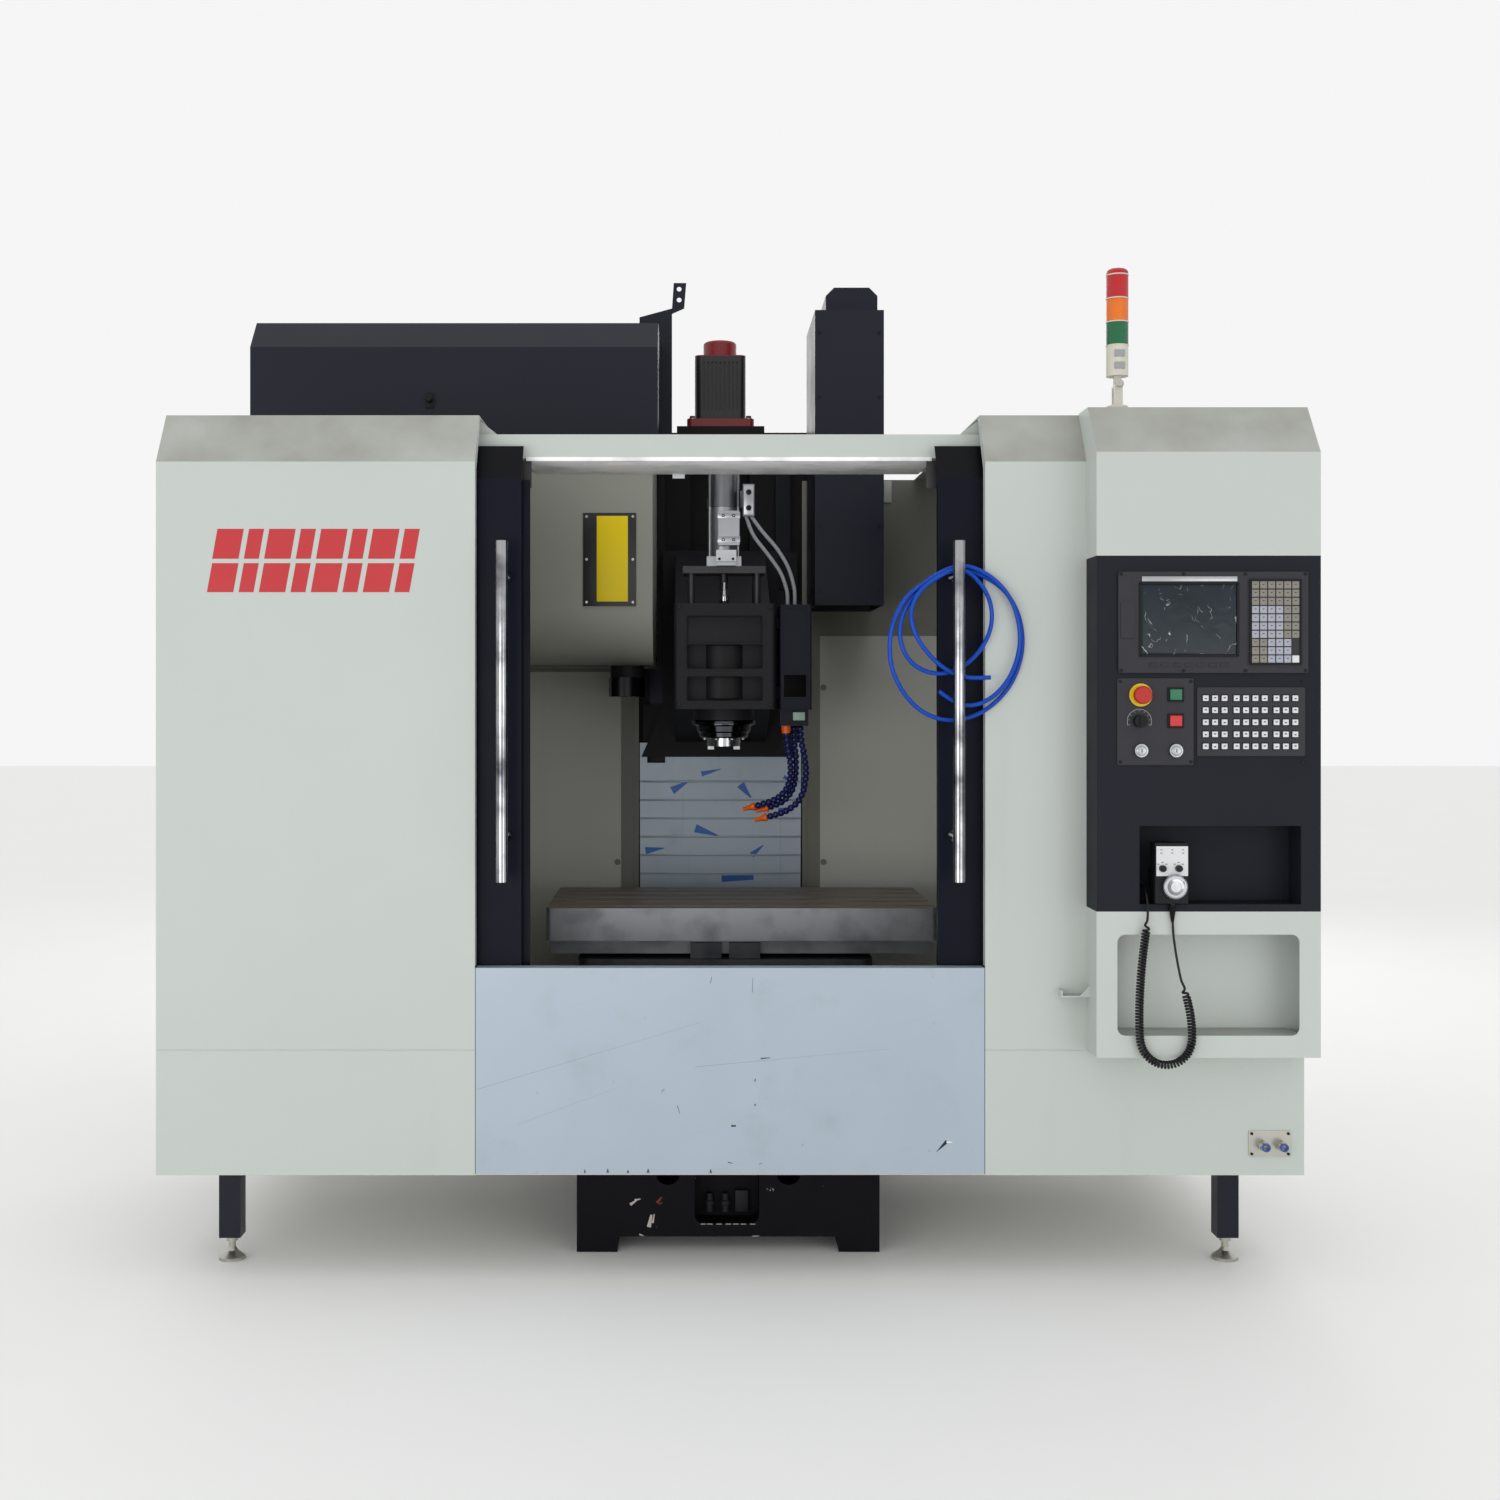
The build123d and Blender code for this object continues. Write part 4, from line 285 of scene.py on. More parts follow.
# The doors in the same enamel, coloured darker as painted shade, with a blacker band of painted shade on their
# top fold above their posts
door_top_shade = (1.824, "#05060A")
shaded_door_look = ("#0E1120", "#0A0D18", 1.6, 0.025, 0.36)
shaded_door_navy = enamel("navy_door_enamel_painted_shade", *shaded_door_look, gleam=0.1, band=door_top_shade)
# Wrinkle enamel of the panel case: a matt charcoal with a fine raised grain that breaks highlights up
wrinkle = enamel("black_wrinkle_enamel", "#1F212A", "#181A22", 0.9, 0.09, 0.55, gleam=0.15)
# Black brushed paint on the bed casting, chipped to grey filler where slings and forks have touched it
bed_paint = cast_paint("black_casting_paint", "#0A0A0E", "#101014", 1.4, 0.35, 0.42, chips=True, gleam=0.08)
# The column wears the same paint, unchipped
column_paint = cast_paint("black_column_paint", "#0E0E12", "#16161B", 1.6, 0.35, 0.45)
# Charcoal paint on the spindle head, flatter because the filler under it was rubbed down
head_paint = cast_paint("charcoal_head_paint", "#252529", "#1E1E22", 1.1, 0.2, 0.5)
# Ground grey iron of the table: fine straight lines along the table and darker stains. Its top still wears the
# brown rust-preventing coat, which is neither metallic nor bright
rust_coat = (0.7832, "#6B5D50")
ground_iron = worked_metal("ground_cast_iron", "#97989C", "#5A5B60", 0.42, 1.2, 0, 0.03, 0.7, coat=rust_coat)
# Milled iron of the saddle, darker and rougher than the table
milled_iron = worked_metal("milled_cast_iron", "#5B5C60", "#33343A", 0.45, 2.4, 0, 0.05, 0.7)
# Ground steel of spindle, disc and track: bright, with close lines
ground_steel = worked_metal("ground_steel", "#B9BBBF", "#7D7F84", 0.22, 0.8, 2)
# Oiled rail steel: the same lines, coloured nearly black as painted shade, so that it mirrors no bright
# surroundings
rail_steel_painted_dark = worked_metal("oiled_rail_steel_painted_shade", "#232427", "#151618", 0.34, 0.8, 2)
# Polished steel of the spindle nose cover, coloured dark as a painted reflection of the dark interior around it
nose_steel_painted_dark = worked_metal("polished_steel_painted_dark_reflection", "#4A4B50", "#2E2F33", 0.12, 0.6, 2, 0.01, 0.4)
# The strip under the beam still has its milky film; its white, non-metallic colour with darker blotches is a
# painted reflection of the bright light it mirrors
strip_painted_bright = worked_metal("filmed_stainless_painted_reflection", "#FFFFFF", "#8F949B", 0.5, 1.5, 0, 0.02, 0.5, metallic=0)
# Polished tube of the door handles: near mirror, with faint draw lines along its length, and dark patches
# painted in as reflections of dark surroundings
chrome_painted_reflections = worked_metal("polished_tube_painted_reflections", "#A6A7AB", "#34353A", 0.09, 0.6, 2, 0.01, 1.0)
# Satin aluminium of caps, round keys and pulse wheel: an even grey without a mirror image
aluminium = worked_metal("satin_aluminium", "#AEB0B4", "#85878C", 0.34, 0.7, 2, 0.02, 0.3)
# Blackened steel of the socket screws: dark and satin
black_steel = worked_metal("blackened_screw_steel", "#2B2B2E", "#1A1A1C", 0.38, 0.5, 2)
# Blackened and oiled steel of the tool change arm: almost black, with a soft shine on its edges
dark_arm = worked_metal("blackened_arm_steel", "#232326", "#141416", 0.34, 0.8, 2, 0.02, 0.4)
# Zinc-plated bolts and washers: pale, with a yellowish cast
zinc = worked_metal("zinc_plated_steel", "#B7B6AC", "#8D8B80", 0.3, 0.5, 2)

# Moulded ABS and similar parts, named by their colour: even, with a grain that softens the highlight
black_abs = moulded("black_moulded_abs", "#111215", 0.42, gleam=0.2)
plate_black = moulded("charcoal_panel_film", "#36363B", 0.38, 1.2, 0.02, 0.15)
dark_pane = moulded("dark_inspection_pane", "#040406", 0.5, 3.0, 0.005, 0.05)
key_white = moulded("white_key_caps", "#D9DBDD", 0.35, 0.5, 0.01)
key_grey = moulded("grey_key_caps", "#9A9C9E", 0.4, 0.5, 0.01)
key_taupe = moulded("taupe_key_caps", "#858178", 0.4, 0.5, 0.01)
key_lilac = moulded("lilac_key_caps", "#A4A6B2", 0.4, 0.5, 0.01)
estop_red = moulded("red_mushroom_cap", "#B32019", 0.33, 0.6, 0.01)
lamp_red = moulded("red_button_lens", "#C4141C", 0.2, 0.6, 0.005)
lamp_green = moulded("green_button_lens", "#0B6B45", 0.2, 0.6, 0.005)
ring_yellow = moulded("yellow_estop_ring", "#E2C012", 0.38)
tower_white = moulded("ivory_tower_housing", "#CFCDBF", 0.4)
plug_green = moulded("pale_green_connector", "#8FAE9F", 0.4)
acetal_navy = moulded("navy_acetal_segments", "#131A54", 0.3, 0.6, 0.01)
acetal_orange = moulded("orange_acetal_nozzles", "#F06A18", 0.32, 0.6, 0.01)
pvc_grey = moulded("grey_pvc_cable", "#8E9095", 0.4, 1.0, 0.02)
pvc_black = moulded("black_pvc_cord", "#111216", 0.36, 1.0, 0.02, 0.3)
rubber = moulded("black_rubber_profile", "#0E0E10", 0.62, 0.7, 0.03, 0.15)
fitting_blue = moulded("blue_release_rings", "#1D4FA8", 0.35, 0.5, 0.01)
# Enamelled and stencilled signs: flat strong colours, and the dull grey of bare filler
sign_yellow = enamel("yellow_sign_enamel", "#EBD01C", "#E0C416", 3.0, 0.02, 0.35, gleam=0.2)
sign_black = enamel("black_sign_enamel", "#17171A", "#1D1D20", 3.0, 0.02, 0.4)
filler_grey = enamel("bare_filler_grey", "#A8A29B", "#7C766F", 3.0, 0.05, 0.6, gleam=0.2)
stencil_red = enamel("red_stencil_paint", "#C4262B", "#B01E24", 1.0, 0.04, 0.5)

# Polyurethane hose: saturated blue, glossy and a touch translucent, so its edges glow
hose_look = {
    "Roughness": 0.22, "Specular IOR Level": 0.22,
    "Subsurface Weight": 0.04, "Subsurface Radius": (0.001, 0.002, 0.006),
}
hose_blue, tree, shader, coords = begin("blue_polyurethane_hose", hose_look)
hose_tone = patched(tree, coords, linear("#0A49B8"), linear("#0B3FA0"), 30, 2)
tree.links.new(hose_tone, shader.inputs["Base Color"])

# Scratches on the apron's film, small dark cuts and specks, the tear near its right foot, and dark lines of
# painted shade along its side edges
apron_marks = [
    ("#8794A0", [
        (-322, 507, 16.7, 530, 1.2, 0.7), (-364, 395, 20.3, 254, 0.9, 0.5), (145, 503, 5.3, 452, 1.2, 0.6),
    ]),
    ("#39424B", [
        (81, 502, 4, 22, 3.4, 1.4), (-43, 680, 80, 16, 1.6, 0.8), (51, 668, 88, 34, 1.2, 0.6),
        (57, 452, 80, 7, 2.8, 2.0), (57, 396, 60, 5, 3.4, 2.4), (8, 348, 0, 11, 5.0, 4.0),
        (1, 264, -12, 12, 2.6, 1.0), (-117, 385, -72, 19, 1.6, 1.0), (-330, 245, 90, 8, 4.0, 2.0),
        (-278, 246, 90, 9, 6.0, 2.0), (-232, 244, 90, 6, 5.0, 3.0), (-186, 246, 90, 9, 7.0, 2.0),
        (-44, 245, 90, 8, 6.0, 2.0), (70, 262, 20, 8, 2.0, 1.0),
    ]),
    ("#14181D", [(481, 301, 45, 34, 0.8, 8.5)]),
    ("#E4E8EA", [(499, 311, 0, 14, 4.0, 1.0)]),
    # Painted shade: a dark line down each side edge of the apron
    ("#5C666F", [(-579, 473, 90, 470, 2.2, 2.2), (579, 473, 90, 470, 2.2, 2.2)]),
]
apron_film = filmed_steel("filmed_apron_steel", "#AAB6C1", "#9FACB8", 16, 0.12, apron_marks)
# Plain blue wedges printed on the covers' film, of a few sizes
cover_prints = [
    (76, 1043, -52, 52, 26, 3), (196, 990, 12, 44, 14, 2), (52, 781, 2, 96, 20, 14),
    (-118, 1060, 30, 62, 24, 2), (-40, 920, -18, 74, 26, 3), (-196, 868, 8, 58, 22, 2),
    (112, 866, 40, 46, 18, 2), (-96, 742, 5, 70, 20, 3), (-28, 1102, 14, 60, 16, 2),
    (204, 1078, -30, 34, 12, 2), (20, 655, -14, 66, 20, 2), (-170, 620, 24, 58, 20, 2),
]
cover_film = filmed_steel("filmed_cover_steel", "#B7C3CE", "#AAB8C5", 90, 0.35, [("#1F63B4", cover_prints)])

# Clear polycarbonate of the door windows, faintly green through its thickness and lightly scratched
window_look = {"Base Color": linear("#C9D6D2"), "Transmission Weight": 0.92, "IOR": 1.585}
window_sheet, tree, shader, coords = begin("clear_polycarbonate", window_look)
hairs = add_node(tree, "ShaderNodeTexNoise", {"Vector": coords, "Scale": per_metre(25), "Detail": 6})
gloss = add_node(tree, "ShaderNodeMapRange", {"Value": hairs, "To Min": 0.03, "To Max": 0.11})
tree.links.new(gloss, shader.inputs["Roughness"])

# The tower's three fluted acrylic lenses, green at the bottom, amber, then red under a red cap
amber_from = 2.184
red_from = 2.238
tower_x = 0.892
tower_y = -1.0
flute_count = 40
tower_lens, tree, shader, coords = begin("tower_acrylic_lenses", {"Transmission Weight": 0.25, "IOR": 1.49})
lower = banded(tree, coords, amber_from, linear("#0A6B3F"), linear("#F07A12"))[0]
lenses = banded(tree, coords, red_from, lower, linear("#C4161C"))[0]
centred = add_node(tree, "ShaderNodeMapping", {"Vector": coords, "Location": (-tower_x, -tower_y, 0)})
bearing = add_node(tree, "ShaderNodeTexGradient", {"Vector": centred}, "Fac", gradient_type="RADIAL")
flutes = add_node(tree, "ShaderNodeMath", {0: bearing, 1: 2 * math.pi * flute_count}, operation="MULTIPLY")
wave = add_node(tree, "ShaderNodeMath", {0: flutes}, operation="SINE")
surfaced(tree, shader, lenses, 0.2, wave, 0.5, 0.6)

# The vertical drive motor: a red enamelled flange and cap, and a black finned body between them
body_from = 2.1545
body_to = 2.346
motor_red_black, tree, shader, coords = begin("red_and_black_motor_enamel", {})
level = add_node(tree, "ShaderNodeSeparateXYZ", {"Vector": coords}, "Z")
over_flange = add_node(tree, "ShaderNodeMath", {0: level, 1: body_from}, operation="GREATER_THAN")
under_cap = add_node(tree, "ShaderNodeMath", {0: level, 1: body_to}, operation="LESS_THAN")
between = add_node(tree, "ShaderNodeMath", {0: over_flange, 1: under_cap}, operation="MULTIPLY")
motor_tones = {"Fac": between, "Color1": linear("#7E1018"), "Color2": linear("#16161A")}
motor_tone = add_node(tree, "ShaderNodeMixRGB", motor_tones)
wear = add_node(tree, "ShaderNodeTexNoise", {"Vector": coords, "Scale": per_metre(14), "Detail": 3})
surfaced(tree, shader, motor_tone, (0.28, 0.45), wear, 0.4, 0.3, wear)

# Drawbar cylinder: satin aluminium above its mounting plate, the plate and pillars in charcoal paint
alloy_from = 1.6735
grey_band_from = 1.833
cylinder_alloy, tree, shader, coords = begin("satin_aluminium_on_charcoal_plate", {})
alloy = banded(tree, coords, grey_band_from, linear("#A9ABAE"), linear("#77787B"))[0]
cylinder_tone, metal = banded(tree, coords, alloy_from, linear("#26262A"), alloy)
tree.links.new(metal, shader.inputs["Metallic"])
wear = add_node(tree, "ShaderNodeTexNoise", {"Vector": coords, "Scale": per_metre(25), "Detail": 4})
surfaced(tree, shader, cylinder_tone, (0.28, 0.46), wear, 0.3, 0.2, wear)

# The dark display behind its glass, with pale lines painted along the creases of its loose clear film as
# painted highlights
display_glass, tree, shader, coords = begin("dark_display_glass", {"Specular IOR Level": 0.2})
display_tone = patched(tree, coords, linear("#1B2228"), linear("#262F37"), 80, 2)
folds = {"Vector": coords, "Scale": per_metre(70), "Detail": 2, "Distortion": 1.5}
crease = add_node(tree, "ShaderNodeTexNoise", folds)
ridge = add_node(tree, "ShaderNodeMath", {0: crease, 1: 0.5}, operation="SUBTRACT")
width = add_node(tree, "ShaderNodeMath", {0: ridge}, operation="ABSOLUTE")
line = add_node(tree, "ShaderNodeMapRange", {"Value": width, "From Min": 0.007, "From Max": 0.0})
broken = add_node(tree, "ShaderNodeTexNoise", {"Vector": coords, "Scale": per_metre(22), "Detail": 2})
gaps = {"Value": broken, "From Min": 0.5, "From Max": 0.62, "To Max": 0.75}
share = add_node(tree, "ShaderNodeMapRange", gaps)
painted_glints = add_node(tree, "ShaderNodeMath", {0: line, 1: share}, operation="MULTIPLY")
# Painted highlights: pale lines in the base colour along the film's creases
display_with_glints = add_node(tree, "ShaderNodeMixRGB", {"Fac": painted_glints, "Color1": display_tone, "Color2": linear("#DCE4E8")})
surfaced(tree, shader, display_with_glints, 0.12, crease, 0.3, 1)

# Which finish each node of the CAD frame wears
wearers = [
    (cream, "left_cover right_cover crossbeam control_hood tray_box"),
    (shaded_wall_cream, "back_wall"),
    (shaded_magazine_cream, "magazine_cover"),
    (inner_cream_painted_light, "chip_pan"),
    (cabinet_cream, "electrical_cabinet cabinet_door"),
    (shaded_door_navy, "left_door right_door"),
    (navy, "rear_guard cable_duct cover_legs"),
    (wrinkle, "panel_case head_side_box"),
    (bed_paint, "base_casting"),
    (column_paint, "column"),
    (head_paint, "head_casting arm_gearbox"),
    (ground_iron, "table"),
    (milled_iron, "saddle"),
    (rail_steel_painted_dark, "way_rails"),
    (ground_steel, "spindle magazine_disc door_track"),
    (dark_arm, "change_arm"),
    (zinc, "levelling_feet air_fittings"),
    (apron_film, "front_apron"),
    (cover_film, "z_cover_1 z_cover_2 z_cover_3 z_cover_4 z_cover_5 z_cover_6 z_cover_7"),
    (chrome_painted_reflections, "left_handle right_handle"),
    (window_sheet, "left_window right_window"),
    (cylinder_alloy, "unclamp_cylinder"),
    (motor_red_black, "z_motor"),
    (aluminium, "pendant_wheel"),
    (black_abs, "tool_pot pendant_body override_knob"),
    (plate_black, "panel_plates"),
    (key_white, "panel_keys"),
    (estop_red, "estop_button"),
    (lamp_green, "start_button"),
    (lamp_red, "stop_button"),
    (tower_white, "tower_foot tower_body"),
    (tower_lens, "tower_lenses"),
    (pvc_grey, "head_cables"),
    (acetal_navy, "coolant_hoses"),
    (hose_blue, "air_hose"),
    (pvc_black, "pendant_cord"),
]
finishes = {name: finish for finish, names in wearers for name in names.split()}
for name, node in nodes.items():
    node.data.materials.clear()
    node.data.materials.append(finishes[name])


def fresh():
    """Leaves edit mode and deselects everything."""
    if bpy.context.object is not None and bpy.context.object.mode != "OBJECT":
        bpy.ops.object.mode_set(mode="OBJECT")
    bpy.ops.object.select_all(action="DESELECT")


def edit(piece):
    """Opens one piece in edit mode with everything on it selected."""
    fresh()
    piece.select_set(True)
    bpy.context.view_layer.objects.active = piece
    bpy.context.tool_settings.mesh_select_mode = (False, False, True)
    bpy.ops.object.mode_set(mode="EDIT")
    bpy.ops.mesh.select_all(action="SELECT")


def pick(piece, wanted):
    """Selects the faces whose normal passes the test, and stays in edit mode."""
    edit(piece)
    bpy.ops.mesh.select_all(action="DESELECT")
    bpy.ops.object.mode_set(mode="OBJECT")
    for face in piece.data.polygons:
        face.select = wanted(face.normal)
    bpy.ops.object.mode_set(mode="EDIT")


def fixed_in_mesh(*pieces):
    """Puts each piece's place, turn and size into its mesh."""
    fresh()
    for piece in pieces:
        piece.select_set(True)
    bpy.context.view_layer.objects.active = pieces[0]
    bpy.ops.object.transform_apply(location=True, rotation=True, scale=True)


def stood(piece, place, turn=(0, 0, 0)):
    """Turns a piece, moves it to its place, and puts both into its mesh."""
    piece.rotation_euler = turn
    piece.location = [v / 1000 for v in place]
    fixed_in_mesh(piece)
    return piece


def finish_piece(piece, name, material, body, angle=35):
    """Names, smooths, coats and mounts a modelled piece."""
    fixed_in_mesh(piece)
    bpy.ops.object.shade_smooth_by_angle(angle=math.radians(angle))
    piece.name = name
    piece.data.materials.clear()
    piece.data.materials.append(material)
    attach(piece, body)
    return piece


def slab(x0, x1, y0, y1, z0, z1, bevel=0.8, segments=2):
    """A block between two corners with its edges rounded."""
    fresh()
    bpy.ops.mesh.primitive_cube_add(size=0.001, location=((x0 + x1) / 2000, (y0 + y1) / 2000, (z0 + z1) / 2000))
    piece = bpy.context.object
    piece.scale = (abs(x1 - x0), abs(y1 - y0), abs(z1 - z0))
    fixed_in_mesh(piece)
    if bevel:
        edit(piece)
        bpy.ops.mesh.bevel(offset=bevel / 1000, segments=segments, affect="EDGES")
        bpy.ops.object.mode_set(mode="OBJECT")
    return piece


TURNS = {
    "z": (0, 0, 0), "-z": (math.pi, 0, 0), "-y": (math.pi / 2, 0, 0), "y": (-math.pi / 2, 0, 0),
    "x": (0, math.pi / 2, 0), "-x": (0, -math.pi / 2, 0),
}
ORIGIN = (0, 0, 0)


def turned(profile, place=ORIGIN, axis="z", sides=32):
    """A turned part: a disc extruded and resized ring by ring along its axis, from (radius, height) pairs."""
    fresh()
    bpy.ops.mesh.primitive_circle_add(
        vertices=sides, radius=profile[0][0] / 1000, fill_type="NGON", location=(0, 0, profile[0][1] / 1000)
    )
    piece = bpy.context.object
    fixed_in_mesh(piece)
    edit(piece)
    for (r0, z0), (r1, z1) in zip(profile, profile[1:]):
        bpy.ops.mesh.extrude_region_move(TRANSFORM_OT_translate={"value": (0, 0, (z1 - z0) / 1000)})
        bpy.ops.transform.resize(value=(r1 / r0, r1 / r0, 1), center_override=(0, 0, z1 / 1000))
    bpy.ops.mesh.select_all(action="SELECT")
    bpy.ops.mesh.normals_make_consistent(inside=False)
    bpy.ops.object.mode_set(mode="OBJECT")
    return stood(piece, place, TURNS[axis])


def collar(outer, inner, height, place, axis, sides=40):
    """A flat ring of this height standing on its place along the axis."""
    fresh()
    bpy.ops.mesh.primitive_circle_add(vertices=sides, radius=outer / 1000, fill_type="NGON")
    piece = bpy.context.object
    edit(piece)
    bpy.ops.mesh.inset(thickness=(outer - inner) / 1000 * math.cos(math.pi / sides))
    bpy.ops.mesh.delete(type="FACE")
    edit(piece)
    bpy.ops.mesh.extrude_region_move(TRANSFORM_OT_translate={"value": (0, 0, height / 1000)})
    bpy.ops.mesh.select_all(action="SELECT")
    bpy.ops.mesh.normals_make_consistent(inside=False)
    bpy.ops.object.mode_set(mode="OBJECT")
    return stood(piece, place, TURNS[axis])


def joined(parts):
    """Joins several modelled parts into one mesh."""
    fresh()
    for part in parts:
        part.select_set(True)
    bpy.context.view_layer.objects.active = parts[0]
    if len(parts) > 1:
        bpy.ops.object.join()
    return parts[0]


def twin(master):
    """A copy of a part with its own mesh."""
    copy = master.copy()
    copy.data = master.data.copy()
    bpy.context.scene.collection.objects.link(copy)
    return copy


def repeated(master, places):
    """Copies a part that was made at the origin to each place, each copy with its own mesh, and joins them."""
    copies = []
    for place in places:
        copy = twin(master)
        copy.location = [v / 1000 for v in place]
        copies.append(copy)
    bpy.data.objects.remove(master)
    fixed_in_mesh(*copies)
    return joined(copies)


def grid(xs, y, zs):
    """The places at one depth where these columns and rows cross, column by column."""
    return [(x, y, z) for x in xs for z in zs]


def fanned(corners, centre, reach, degrees):
    """Blocks set round a centre in an X-Z face, each turned to point away from it."""
    blocks = []
    for angle in map(math.radians, degrees):
        spot = (centre[0] + reach * math.cos(angle), centre[1], centre[2] + reach * math.sin(angle))
        blocks.append(stood(slab(*corners), spot, (0, -angle, 0)))
    return joined(blocks)


def sunk(piece, facing, rim, depth):
    """Insets the face that looks this way by a rim, and pushes its middle in."""
    pick(piece, lambda normal: normal.dot(facing) > 0.99)
    bpy.ops.mesh.inset(thickness=rim / 1000)
    bpy.ops.mesh.extrude_region_move(TRANSFORM_OT_translate={"value": [-v * depth / 1000 for v in facing]})
    bpy.ops.object.mode_set(mode="OBJECT")
    return piece


def shifted(piece, wanted, way):
    """Moves the faces whose normal passes the test."""
    pick(piece, wanted)
    bpy.ops.transform.translate(value=[v / 1000 for v in way])
    bpy.ops.object.mode_set(mode="OBJECT")
    return piece


def socket_screw(radius, height, axis="-y"):
    """A cap screw's head with its hexagon socket, at the origin, standing along the axis."""
    profile = [(radius * 0.98, 0), (radius, height * 0.2), (radius, height * 0.85), (radius * 0.88, height)]
    head = sunk(turned(profile, sides=20), (0, 0, 1), radius * 0.36, height * 0.55)
    return stood(head, ORIGIN, TURNS[axis])


def key_cap(half_x, half_z, rise, dish):
    """A dished key cap at the origin, standing out towards the operator."""
    return sunk(slab(-half_x, half_x, -rise, 0, -half_z, half_z, 0.7), (0, -1, 0), half_x * 0.22, dish)


def flat_frame(x0, x1, z0, z1, y_front, depth, width, corner):
    """A rounded rectangular profile around an opening in an X-Z face, such as a window's rubber."""
    ring = slab(x0, x1, y_front, y_front + depth, z0, z1, bevel=0)
    edit(ring)
    bpy.ops.object.mode_set(mode="OBJECT")
    for edge in ring.data.edges:
        # Only the four edges that run along y are rounded
        a, b = (ring.data.vertices[i].co for i in edge.vertices)
        edge.select = abs((b - a).normalized().y) > 0.99
    bpy.context.tool_settings.mesh_select_mode = (False, True, False)
    for face in ring.data.polygons:
        face.select = False
    for vertex in ring.data.vertices:
        vertex.select = False
    bpy.ops.object.mode_set(mode="EDIT")
    bpy.ops.mesh.bevel(offset=corner / 1000, segments=6, affect="EDGES")
    pick(ring, lambda normal: abs(normal.y) > 0.99)
    bpy.ops.mesh.inset(thickness=width / 1000)
    bpy.ops.mesh.delete(type="FACE")
    edit(ring)
    bpy.context.tool_settings.mesh_select_mode = (False, True, False)
    bpy.ops.mesh.select_all(action="DESELECT")
    bpy.ops.mesh.select_non_manifold()
    bpy.ops.mesh.bridge_edge_loops()
    bpy.ops.mesh.select_all(action="SELECT")
    bpy.ops.mesh.normals_make_consistent(inside=False)
    bpy.ops.object.mode_set(mode="OBJECT")
    return ring


def nurbs_line(name, points, bevel_mm=0.0, rings=3):
    """A smooth open curve with these control points."""
    curve = bpy.data.curves.new(name, "CURVE")
    curve.dimensions = "3D"
    spline = curve.splines.new("NURBS")
    spline.points.add(len(points) - 1)
    for slot, point in zip(spline.points, points):
        slot.co = [v / 1000 for v in point] + [1.0]
    spline.order_u = 3
    spline.use_endpoint_u = True
    curve.resolution_u = 6
    curve.bevel_depth = bevel_mm / 1000
    curve.bevel_resolution = rings
    curve.use_fill_caps = True
    line = bpy.data.objects.new(name, curve)
    bpy.context.scene.collection.objects.link(line)
    return line


def traced(route):
    """The points along the smooth curve with these control points, as Blender works them out."""
    line = nurbs_line("measure", route)
    bpy.context.view_layer.update()
    mesh = bpy.data.meshes.new_from_object(line)
    points = [v.co * 1000 for v in mesh.vertices]
    bpy.data.meshes.remove(mesh)
    bpy.data.objects.remove(line)
    return points


def distances(points):
    """How far along a row of points each one lies."""
    along = [0.0]
    for a, b in zip(points, points[1:]):
        along.append(along[-1] + (b - a).length)
    return along


# Free air hose: three loose loops over the right handle's upper standoff, both ends free
hose_route = [
    (588, -1074, 1367), (566, -1074, 1366), (538, -1074, 1366), (508, -1075, 1374), (483, -1075, 1388),
    (458, -1074, 1408), (438, -1073, 1432), (421, -1072, 1458), (411, -1071, 1487), (408, -1070, 1513),
    (415, -1070, 1540), (430, -1070, 1564), (452, -1070, 1583), (479, -1070, 1599), (507, -1070, 1612),
    (530, -1070, 1610), (552, -1070, 1595), (574, -1070, 1569), (588, -1069, 1540), (593, -1068, 1509),
    (590, -1067, 1478), (579, -1066, 1449), (560, -1064, 1420), (535, -1062, 1396), (505, -1061, 1380),
    (475, -1061, 1374), (440, -1061, 1381), (412, -1061, 1398), (393, -1061, 1425), (384, -1060, 1459),
    (386, -1060, 1495), (398, -1059, 1526), (420, -1058, 1555), (449, -1058, 1581), (480, -1058, 1600),
    (505, -1058, 1613), (531, -1058, 1612), (566, -1058, 1601), (601, -1058, 1583), (630, -1058, 1556),
    (651, -1058, 1520), (662, -1058, 1479), (664, -1058, 1436), (656, -1058, 1395), (638, -1058, 1353),
    (611, -1058, 1318), (576, -1058, 1290), (538, -1058, 1274), (504, -1058, 1269), (467, -1058, 1274),
    (432, -1058, 1291), (402, -1058, 1319), (378, -1058, 1357), (364, -1058, 1398), (361, -1059, 1437),
    (365, -1060, 1477), (378, -1061, 1515), (398, -1062, 1549), (426, -1063, 1572), (459, -1063, 1595),
    (490, -1064, 1612), (519, -1064, 1621), (549, -1066, 1617), (584, -1068, 1600), (616, -1070, 1572),
    (640, -1071, 1535), (653, -1071, 1492), (656, -1071, 1447), (648, -1071, 1403), (629, -1071, 1361),
    (601, -1071, 1328), (569, -1071, 1308), (536, -1071, 1302), (502, -1071, 1313), (472, -1071, 1336),
]
hose_r = 5.0
hose_length = distances(traced(hose_route))[-1] / 1000
air_hose = nurbs_line("air_hose_coil", hose_route, hose_r, 4)
air_hose.data.materials.append(hose_blue)
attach(air_hose, "right_door")
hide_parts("air_hose")

